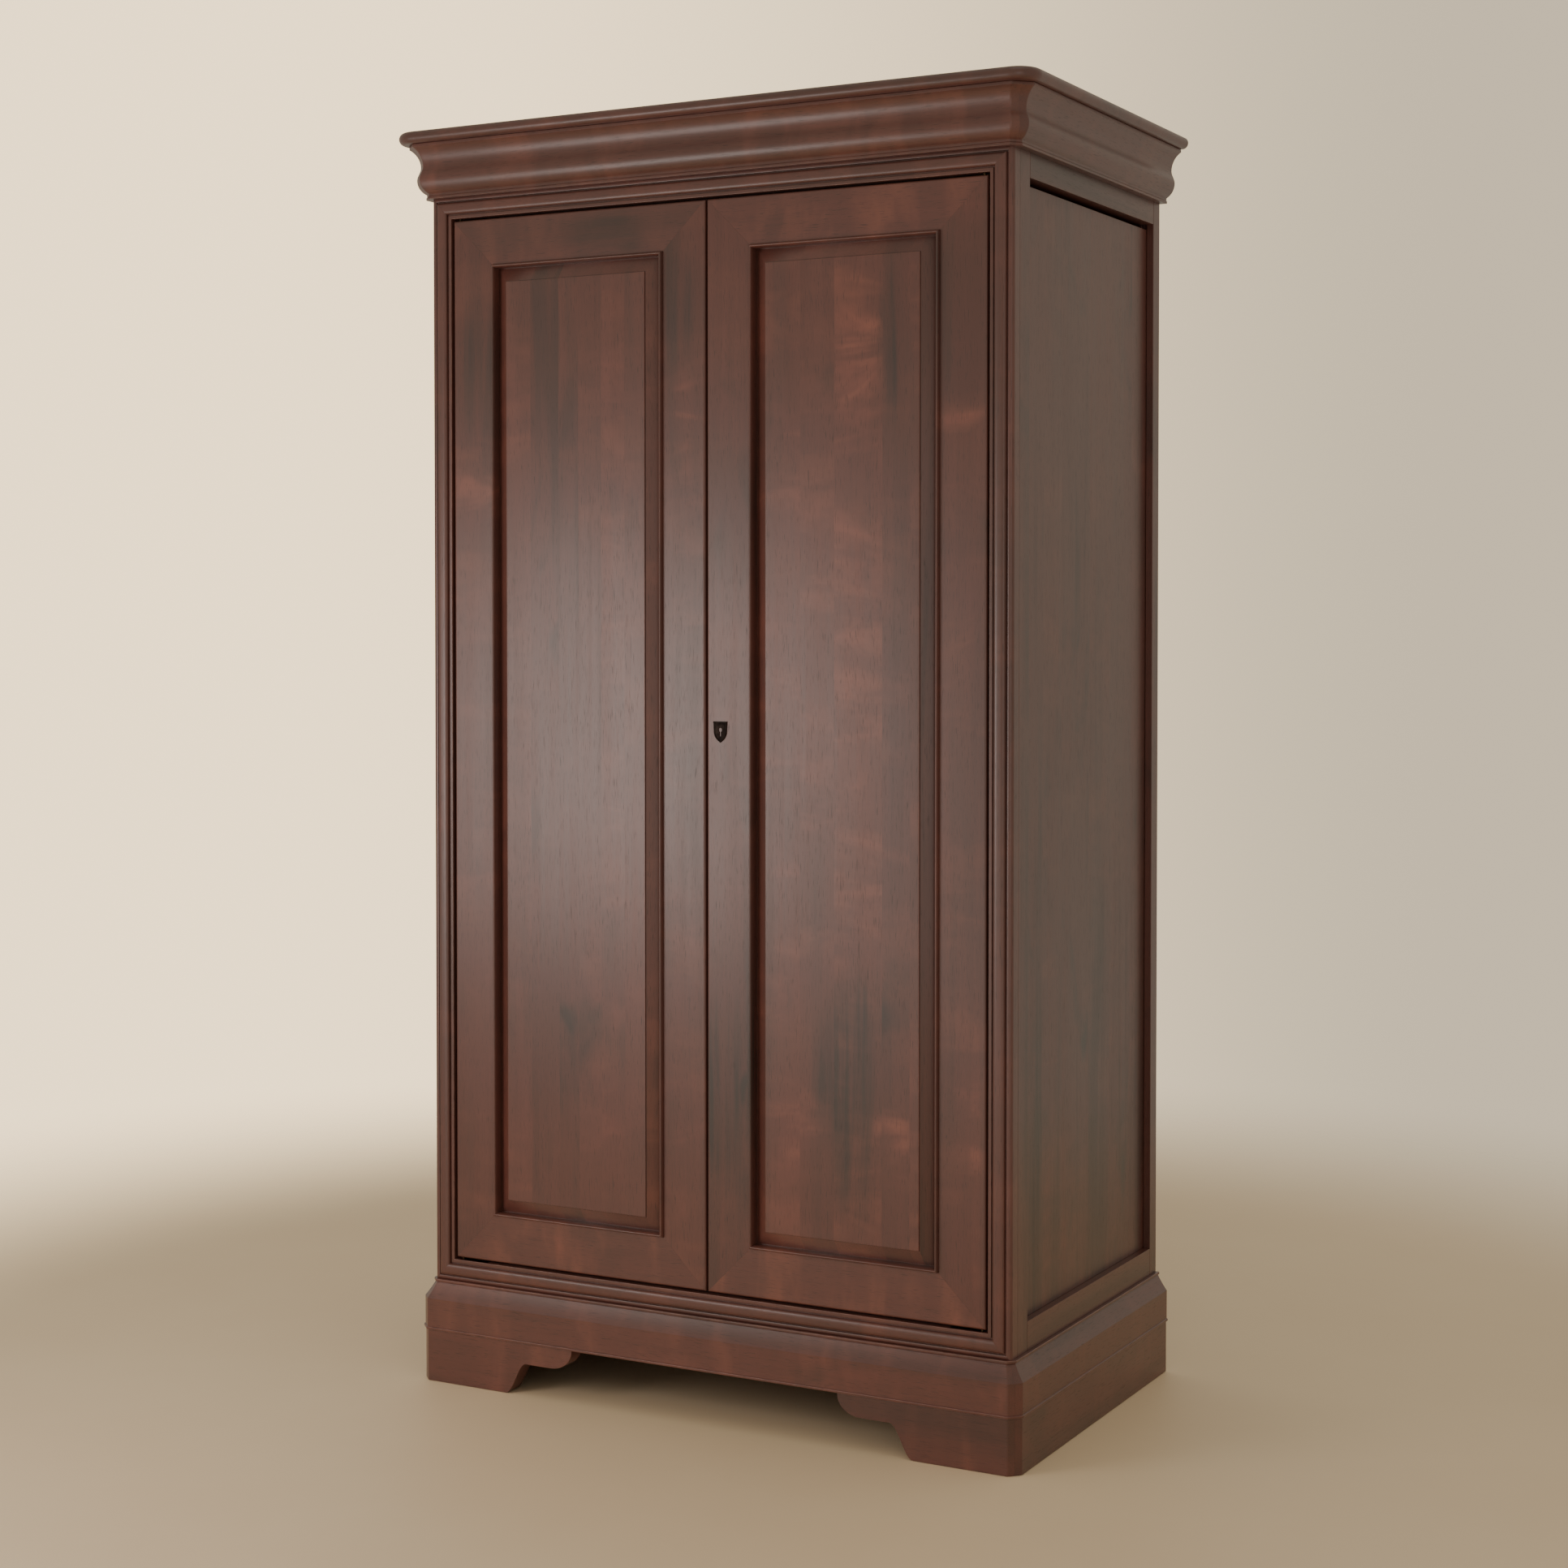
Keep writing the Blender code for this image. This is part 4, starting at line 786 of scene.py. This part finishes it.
def build_door_panel(side, body, look):
    """A raised field inside a bevel that runs down to the frame, all from one board."""
    _, meeting_edge, hinge_edge, low_edge, high_edge = sight_rectangle()
    tongue = 0.0085
    tongue_front = 0.012
    back = 0.018
    bevel = 0.0235
    bevel_front = -0.0035
    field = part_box(body + "_panel")[0].y - DOOR_FRONT
    # The third value marks wear: -0.6 where the bevel leaves the tongue at the frame's sight edge is painted
    # shade, a dark line where the panel runs in behind the frame; -1 in the step at the field's edge is dark
    # wax and painted shade.
    levels = [(-tongue, back, 0.0), (-tongue, tongue_front, 0.0), (0.0008, tongue_front, -0.6)]
    levels += [(0.0016, tongue_front - 0.0002, 0.0), (bevel - 0.0010, bevel_front + 0.0003, 0.0)]
    levels += [(bevel, bevel_front, -1.0), (bevel + 0.0003, field + 0.0007, 0.0)]
    levels += [(bevel + 0.0005, field + 0.0002, 1.0), (bevel + 0.0011, field, 0.0)]
    levels.append((bevel + 0.006, field, 0.0))
    form = bmesh.new()
    layer = form.verts.layers.float.new("wear_and_shade")
    loops = []
    for inset, depth, value in levels:
        left = side * (meeting_edge + inset)
        right = side * (hinge_edge - inset)
        loop = []
        bottom = low_edge + inset
        top = high_edge - inset
        for x, z in ((left, bottom), (right, bottom), (right, top), (left, top)):
            vert = form.verts.new((x, DOOR_FRONT + depth, z))
            vert[layer] = value
            loop.append(vert)
        loops.append(loop)
    for near, far in zip(loops, loops[1:]):
        for i in range(4):
            j = (i + 1) % 4
            form.faces.new((near[i], near[j], far[j], far[i]))
    form.faces.new(loops[0])
    form.faces.new(loops[-1])
    bmesh.ops.recalc_face_normals(form, faces=form.faces)
    mesh = bpy.data.meshes.new(body + "_panel")
    form.to_mesh(mesh)
    form.free()
    finish = wood(f"wood_{body}_panel", "z", **look)
    add_piece(body + "_panel_fine", mesh, finish, body, body + "_panel", smooth=25)


# Framed sides, back and inside


def build_board(node, finish, body="carcass", radius=0.0010):
    """A plain board with softened arrises, the size of its CAD node."""
    low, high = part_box(node)
    outline = [(low.x, low.y), (high.x, low.y), (high.x, high.y), (low.x, high.y)]
    mesh = prism(node, outline, "z", low.z, high.z)
    soften_edges(mesh, radius)
    return add_piece(node + "_fine", mesh, finish, body, node)


def refine_cad(node, finish, radius=0.0006):
    """Keeps a CAD node's own mesh: closes its split corners, softens its arrises and paints it."""
    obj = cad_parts[node]
    obj.data.materials.clear()
    obj.data.materials.append(finish)
    weld = obj.modifiers.new("weld", "WELD")
    weld.merge_threshold = 0.00002
    bevel = obj.modifiers.new("arris", "BEVEL")
    bevel.width = radius
    bevel.segments = 2
    bevel.limit_method = "ANGLE"
    bevel.angle_limit = math.radians(35)
    bevel.harden_normals = True
    return obj


def build_sides():
    for side, hand in ((-1, "left"), (1, "right")):
        name = "side_" + hand
        upright = wood(f"wood_{name}_stiles", "z", 71.0 + side, dark=0.6, warm=0.1, light=-0.05)
        rail = wood(f"wood_{name}_rails", "y", 73.0 + side, dark=0.6, warm=0.1, light=-0.05)
        refine_cad(name + "_front_stile", upright, 0.0010)
        refine_cad(name + "_rear_stile", upright, 0.0010)
        build_board(name + "_top_rail", rail)
        refine_cad(name + "_bottom_rail", rail, 0.0005)
        low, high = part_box(name + "_panel")
        boards = (
            (0.0, 0.75, 0.05, -0.05), (0.17, 0.35, 0.2, 0.0), (0.31, 0.9, 0.1, -0.1),
            (0.52, 0.45, 0.15, 0.0), (0.69, 0.8, 0.1, -0.05), (0.86, 0.5, 0.2, 0.05),
        )
        staves = ("Y", low.y, high.y, boards)
        shade = ((((HALF_WIDTH - 0.01) * side, 0.0, 0.55), (0.3, 0.5, 0.8), 0.25, 0.1, -0.15),)
        finish = wood(f"wood_{name}_panel", "z", 75.0 + side, staves=staves, patches=shade)
        build_board(name + "_panel", finish, radius=0.0005)


def build_inside():
    plain = dict(dark=0.3, warm=0.2, light=0.1)
    for hand, seed in (("left", 81.0), ("right", 82.0)):
        low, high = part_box("back_panel_" + hand)
        boards = (
            (0.0, 0.3, 0.2, 0.1), (0.21, 0.5, 0.1, 0.0), (0.45, 0.2, 0.25, 0.15), (0.66, 0.4, 0.2, 0.05),
        )
        staves = ("X", low.x, high.x, boards)
        build_board("back_panel_" + hand, wood("wood_back_" + hand, "z", seed, staves=staves), radius=0.0008)
        bearer = wood("wood_bearer_" + hand, "y", seed + 4, **plain)
        refine_cad("rail_bearer_" + hand, bearer)
    refine_cad("bottom_board", wood("wood_bottom_board", "x", 84.0, **plain))
    refine_cad("inner_top_board", wood("wood_inner_top", "x", 85.0, **plain))
    build_board("hat_shelf", wood("wood_hat_shelf", "x", 86.0, **plain), radius=0.0015)
    build_board("plinth_back_rail", wood("wood_plinth_back", "x", 87.0, **plain))


# Hardware: each metal has its clean colour, its dull colour, its roughness and its scratches along x, y, z
AGED_BRASS = ((0.48, 0.32, 0.12), (0.19, 0.12, 0.055), 0.36)
BRUSHED_STEEL = ((0.52, 0.51, 0.49), (0.36, 0.34, 0.31), 0.34, (2, 60, 60))
DARK_BRONZE = ((0.016, 0.011, 0.009), (0.006, 0.004, 0.004), 0.42)
BROWNED_BRASS = ((0.10, 0.065, 0.035), (0.035, 0.023, 0.015), 0.42)
SHIELD_CURVE = 2.6


def build_hardware():
    brass = metal("aged_brass", *AGED_BRASS)
    steel = metal("brushed_steel", *BRUSHED_STEEL)
    bronze = metal("dark_bronze", *DARK_BRONZE)
    browned = metal("browned_brass", *BROWNED_BRASS)
    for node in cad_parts:
        if node.endswith("_leaf"):
            refine_cad(node, browned, 0.0003)
        if node.endswith("_bolt_body") or node in ("lock_case", "lock_keeper"):
            refine_cad(node, brass, 0.0003)
        if node.endswith("_bolt_rod") or node == "lock_bolt":
            refine_cad(node, steel, 0.0004)
    build_rail(steel)
    build_escutcheon(bronze)


def build_rail(steel):
    low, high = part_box("hanging_rail")
    radius = (high.z - low.z) / 2
    y = (low.y + high.y) / 2
    z = (low.z + high.z) / 2
    outline = arc((y, z), (radius, radius), 0, 352.5, 47)
    mesh = prism("hanging_rail", outline, "x", low.x, high.x)
    soften_edges(mesh, 0.0008, 60)
    add_piece("hanging_rail_fine", mesh, steel, "carcass", "hanging_rail")


def shield(scale, middle, half_width, half_height):
    """A flat top, sides that draw in a little, and two curves that meet in a rounded point, as (x, z)."""
    margin = half_width * (1 - scale)
    draw_in = 0.0008
    waist = half_width - margin - draw_in
    shoulder = 0.003
    point = margin - half_height
    side = [(half_width - margin, half_height - margin)]
    steps = 14
    for i in range(steps):
        share = i / steps
        side.append((waist * (1 - share ** SHIELD_CURVE), shoulder + (point - shoulder) * share))
    outline = side + [(0.0, point)] + [(-x, z) for x, z in reversed(side)]
    return [(middle[0] + x, middle[1] + z) for x, z in outline]


def keyhole(middle):
    """A round hole with a straight slot below it, as (x, z)."""
    radius = 0.0032
    half = 0.0014
    length = 0.013
    opening = math.degrees(math.asin(half / radius))
    centre = (middle[0], middle[1] + length / 2 - radius)
    outline = arc(centre, (radius, radius), -90 + opening, 270 - opening, 28)
    bottom = middle[1] - length / 2
    return outline + [(middle[0] - half, bottom), (middle[0] + half, bottom)]


def build_escutcheon(bronze):
    """A cast shield with a sloping rim and a keyhole through it."""
    low, high = ESCUTCHEON
    middle = ((low.x + high.x) / 2, (low.z + high.z) / 2)
    half_width = (high.x - low.x) / 2
    half_height = (high.z - low.z) / 2
    levels = [(1.0, high.y, 0.0), (1.0, low.y + 0.0006, 0.3), (0.94, low.y + 0.0001, 1.0)]
    levels += [(0.86, low.y, 0.6), (0.80, low.y + 0.0004, -0.6), (0.74, low.y + 0.0004, 0.0)]
    rings = []
    for scale, y, _ in levels:
        rings.append([(x, y, z) for x, z in shield(scale, middle, half_width, half_height)])
    mesh = lofted("escutcheon", rings, [0.0] * len(rings[0]))
    wear_and_shade = mesh.attributes["wear_and_shade"]
    count = len(rings[0])
    for i in range(len(wear_and_shade.data)):
        wear_and_shade.data[i].value = levels[i // count][2]
    hole = prism("keyhole_tool", keyhole(middle), "y", low.y - 0.005, high.y + 0.005)
    mesh = combined("escutcheon", mesh, hole, "DIFFERENCE")
    add_piece("escutcheon_fine", mesh, bronze, "right_door", "escutcheon", smooth=50)


# Studio

ROOM_LIGHT = (0.53, 0.50, 0.405)
# The wall seen behind the object has painted light: lit lighter on the left, shaded darker to the right.
WALL_LIT_LEFT = (2.5, 1.92, 1.16)
WALL_SHADED_RIGHT = (0.84, 0.70, 0.50)
WALL_LIGHT_FALLOFF = (-0.20, 0.26)
FLOOR_COLOURS = ((0.84, 0.63, 0.42), (0.90, 0.70, 0.48))
FLOOR_RADIUS = 9.0
FLOOR_FADE = (1.4, 3.0)
FLOOR_DROP = 0.0005

# Soft lights: name, place, target, size, watts, colour
SOFT_LIGHTS = (
    ("window", (-1.10, -1.90, 0.97), (-0.12, -0.27, 1.05), (0.85, 0.85), 12, (1.0, 0.95, 0.91)),
    ("sky_light", (0.7, -1.0, 4.6), (0.1, -0.3, 1.0), (2.0, 2.0), 5, (1.0, 0.97, 0.93)),
    ("bevel_light", (1.85, -2.63, 1.05), (0.3, -0.27, 1.05), (0.9, 2.0), 6, (1.0, 0.98, 0.94)),
    ("floor_fill", (-0.4, -2.9, 0.26), (0, -0.2, 0.05), (2.2, 0.5), 4, (1.0, 0.96, 0.90)),
)

CAMERA_PLACE = (1.9939, -3.7184, 1.2210)
CAMERA_TILT = 88.522
CAMERA_AZIMUTH = 28.345
CAMERA_LENS = 60.29
CAMERA_SENSOR = 36
CAMERA_SHIFT = -0.0599
CAMERA_REACH = 60


def add_area(name, place, target, size, power, colour):
    light = bpy.data.lights.new(name, "AREA")
    light.shape = "RECTANGLE"
    light.size = size[0]
    light.size_y = size[1]
    light.energy = power
    light.color = colour
    lamp = bpy.data.objects.new(name, light)
    lamp.location = place
    lamp.visible_camera = False
    lamp.rotation_euler = (Vector(target) - Vector(place)).to_track_quat("-Z", "Y").to_euler()
    bpy.context.scene.collection.objects.link(lamp)
    return lamp


def build_studio():
    floor_material = bpy.data.materials.new("pale_floor")
    floor_material.use_nodes = True
    g = Graph(floor_material.node_tree)
    shader = floor_material.node_tree.nodes["Principled BSDF"]
    place = g.add("ShaderNodeTexCoord").outputs["Object"]
    mottle = g.noise(g.scaled(place, (3, 3, 3)), 1.0, 4.0, 0.6)
    g.tree.links.new(g.mix(mottle, *FLOOR_COLOURS), shader.inputs["Base Color"])
    shader.inputs["Roughness"].default_value = 0.55
    away = g.add("ShaderNodeVectorMath", {0: place}, operation="LENGTH").outputs["Value"]
    clear = g.add("ShaderNodeBsdfTransparent").outputs[0]
    faded = g.add("ShaderNodeMixShader", {0: g.rise(away, *FLOOR_FADE), 1: shader.outputs[0], 2: clear})
    g.tree.links.new(faded.outputs[0], floor_material.node_tree.nodes["Material Output"].inputs["Surface"])
    form = bmesh.new()
    bmesh.ops.create_circle(form, cap_ends=True, segments=96, radius=FLOOR_RADIUS)
    mesh = bpy.data.meshes.new("studio_floor")
    form.to_mesh(mesh)
    form.free()
    mesh.materials.append(floor_material)
    floor = bpy.data.objects.new("studio_floor", mesh)
    floor.location = (0, 0, CAD_BOUNDS[0].z - FLOOR_DROP)
    bpy.context.scene.collection.objects.link(floor)

    build_world()
    for light in SOFT_LIGHTS:
        add_area(*light)


def build_world():
    """A cream room: what the camera sees behind the object is brighter than what lights it, with painted
    light on the wall, lighter on the left and shaded darker on the right.
    """
    world = bpy.data.worlds.new("studio")
    world.use_nodes = True
    g = Graph(world.node_tree)
    background = world.node_tree.nodes["Background"]
    direction = g.add("ShaderNodeTexCoord").outputs["Generated"]
    turn = math.radians(CAMERA_AZIMUTH)
    across = g.add("ShaderNodeVectorMath", {0: direction, 1: (math.cos(turn), math.sin(turn), 0)})
    across.operation = "DOT_PRODUCT"
    # Painted light on the wall: lighter to the left, shaded darker to the right.
    wall_painted_light = g.mix(g.rise(across.outputs["Value"], *WALL_LIGHT_FALLOFF), WALL_LIT_LEFT, WALL_SHADED_RIGHT)
    seen = g.add("ShaderNodeLightPath").outputs["Is Camera Ray"]
    g.tree.links.new(g.mix(seen, ROOM_LIGHT, wall_painted_light), background.inputs["Color"])
    bpy.context.scene.world = world


def build_camera():
    camera = bpy.data.cameras.new("camera")
    camera.lens = CAMERA_LENS
    camera.sensor_width = CAMERA_SENSOR
    camera.shift_y = CAMERA_SHIFT
    camera.clip_end = CAMERA_REACH
    obj = bpy.data.objects.new("camera", camera)
    obj.location = CAMERA_PLACE
    obj.rotation_euler = (math.radians(CAMERA_TILT), 0, math.radians(CAMERA_AZIMUTH))
    bpy.context.scene.collection.objects.link(obj)
    bpy.context.scene.camera = obj


# The wood of each door member. A panel's staves have a start share, dark, warm and light.


def left_door_looks():
    staves = (
        (0.0, 0.3, 0.3, 0.1), (0.23, 0.65, 0.1, -0.05), (0.40, 0.6, 0.1, -0.05), (0.52, 0.45, 0.2, 0.0),
        (0.66, 0.3, 0.3, 0.1), (0.80, 0.4, 0.2, 0.05), (0.92, 0.25, 0.35, 0.1),
    )
    _, meeting, hinge, _, _ = sight_rectangle()
    return {
        "hinge_stile": dict(seed=11.0, dark=0.35, warm=0.25, patches=(
            ((-0.43, DOOR_FRONT, 1.62), (0.09, 0.2, 0.22), 0.6, -0.2, -0.15),
            ((-0.43, DOOR_FRONT, 1.45), (0.08, 0.2, 0.10), -0.2, 0.8, 0.1))),
        "meeting_stile": dict(seed=12.0, dark=0.4, warm=0.25, patches=(
            ((-0.04, DOOR_FRONT, 1.70), (0.09, 0.2, 0.14), 0.6, -0.2, -0.15),
            ((-0.035, DOOR_FRONT, 1.55), (0.03, 0.2, 0.14), -0.2, 0.7, 0.15))),
        "top_rail": dict(seed=13.0, dark=0.35, warm=0.3, patches=(
            ((-0.17, DOOR_FRONT, 1.82), (0.10, 0.2, 0.06), 0.45, -0.1, -0.1),)),
        "bottom_rail": dict(seed=14.0, dark=0.25, warm=0.6),
        "panel": dict(seed=15.0, staves=("X", -hinge, -meeting, staves), patches=(
            ((-0.285, DOOR_FRONT, 0.59), (0.12, 0.2, 0.22), 0.6, -0.2, -0.2),)),
    }


def right_door_looks():
    staves = (
        (0.0, 0.35, 0.35, 0.1), (0.27, 0.4, 0.3, 0.05), (0.46, 0.25, 0.5, 0.1), (0.72, 0.4, 0.2, -0.02),
        (0.87, 0.3, 0.35, 0.1), (0.922, 0.9, 0.0, -0.1),
    )
    _, meeting, hinge, _, _ = sight_rectangle()
    return {
        "hinge_stile": dict(seed=16.0, dark=0.4, warm=0.25, patches=(
            ((0.43, DOOR_FRONT, 1.66), (0.09, 0.2, 0.17), 0.8, -0.2, -0.25),
            ((0.43, DOOR_FRONT, 1.475), (0.06, 0.2, 0.07), -0.2, 0.8, 0.1),
            ((0.43, DOOR_FRONT, 1.35), (0.08, 0.2, 0.08), 0.7, 0.0, -0.15),
            ((0.448, DOOR_FRONT, 0.40), (0.016, 0.2, 0.26), -0.2, 0.6, 0.2))),
        "meeting_stile": dict(seed=17.0, dark=0.5, warm=0.15, patches=(
            ((0.04, DOOR_FRONT, 1.38), (0.09, 0.2, 0.17), 0.9, -0.2, -0.25),
            ((0.04, DOOR_FRONT, 0.55), (0.09, 0.2, 0.22), 1.0, -0.2, -0.35))),
        "top_rail": dict(seed=18.0, dark=0.2, warm=0.5, light=0.05),
        "bottom_rail": dict(seed=19.0, dark=0.3, warm=0.6),
        "panel": dict(seed=20.0, staves=("X", meeting, hinge, staves), patches=(
            ((0.265, DOOR_FRONT, 1.63), (0.06, 0.2, 0.17), -0.3, 0.7, 0.1),
            ((0.322, DOOR_FRONT, 1.66), (0.035, 0.2, 0.17), 0.8, -0.2, -0.2),
            ((0.26, DOOR_FRONT, 0.53), (0.09, 0.2, 0.22), 1.0, -0.2, -0.35),
            ((0.16, DOOR_FRONT, 0.47), (0.07, 0.2, 0.07), -0.2, 0.7, 0.1),
            ((0.32, DOOR_FRONT, 0.47), (0.05, 0.2, 0.07), -0.2, 0.7, 0.1),
            ((0.20, DOOR_FRONT, 1.15), (0.14, 0.2, 0.40), -0.35, 0.1, 0.1))),
    }


def main():
    build_base_moulding()
    build_cornice()
    build_top_board()
    build_feet()
    build_plinth_sides()
    build_face_frame()
    build_door(-1, "left", left_door_looks())
    build_door(1, "right", right_door_looks())
    build_sides()
    build_inside()
    build_hardware()
    build_studio()
    build_camera()


main()
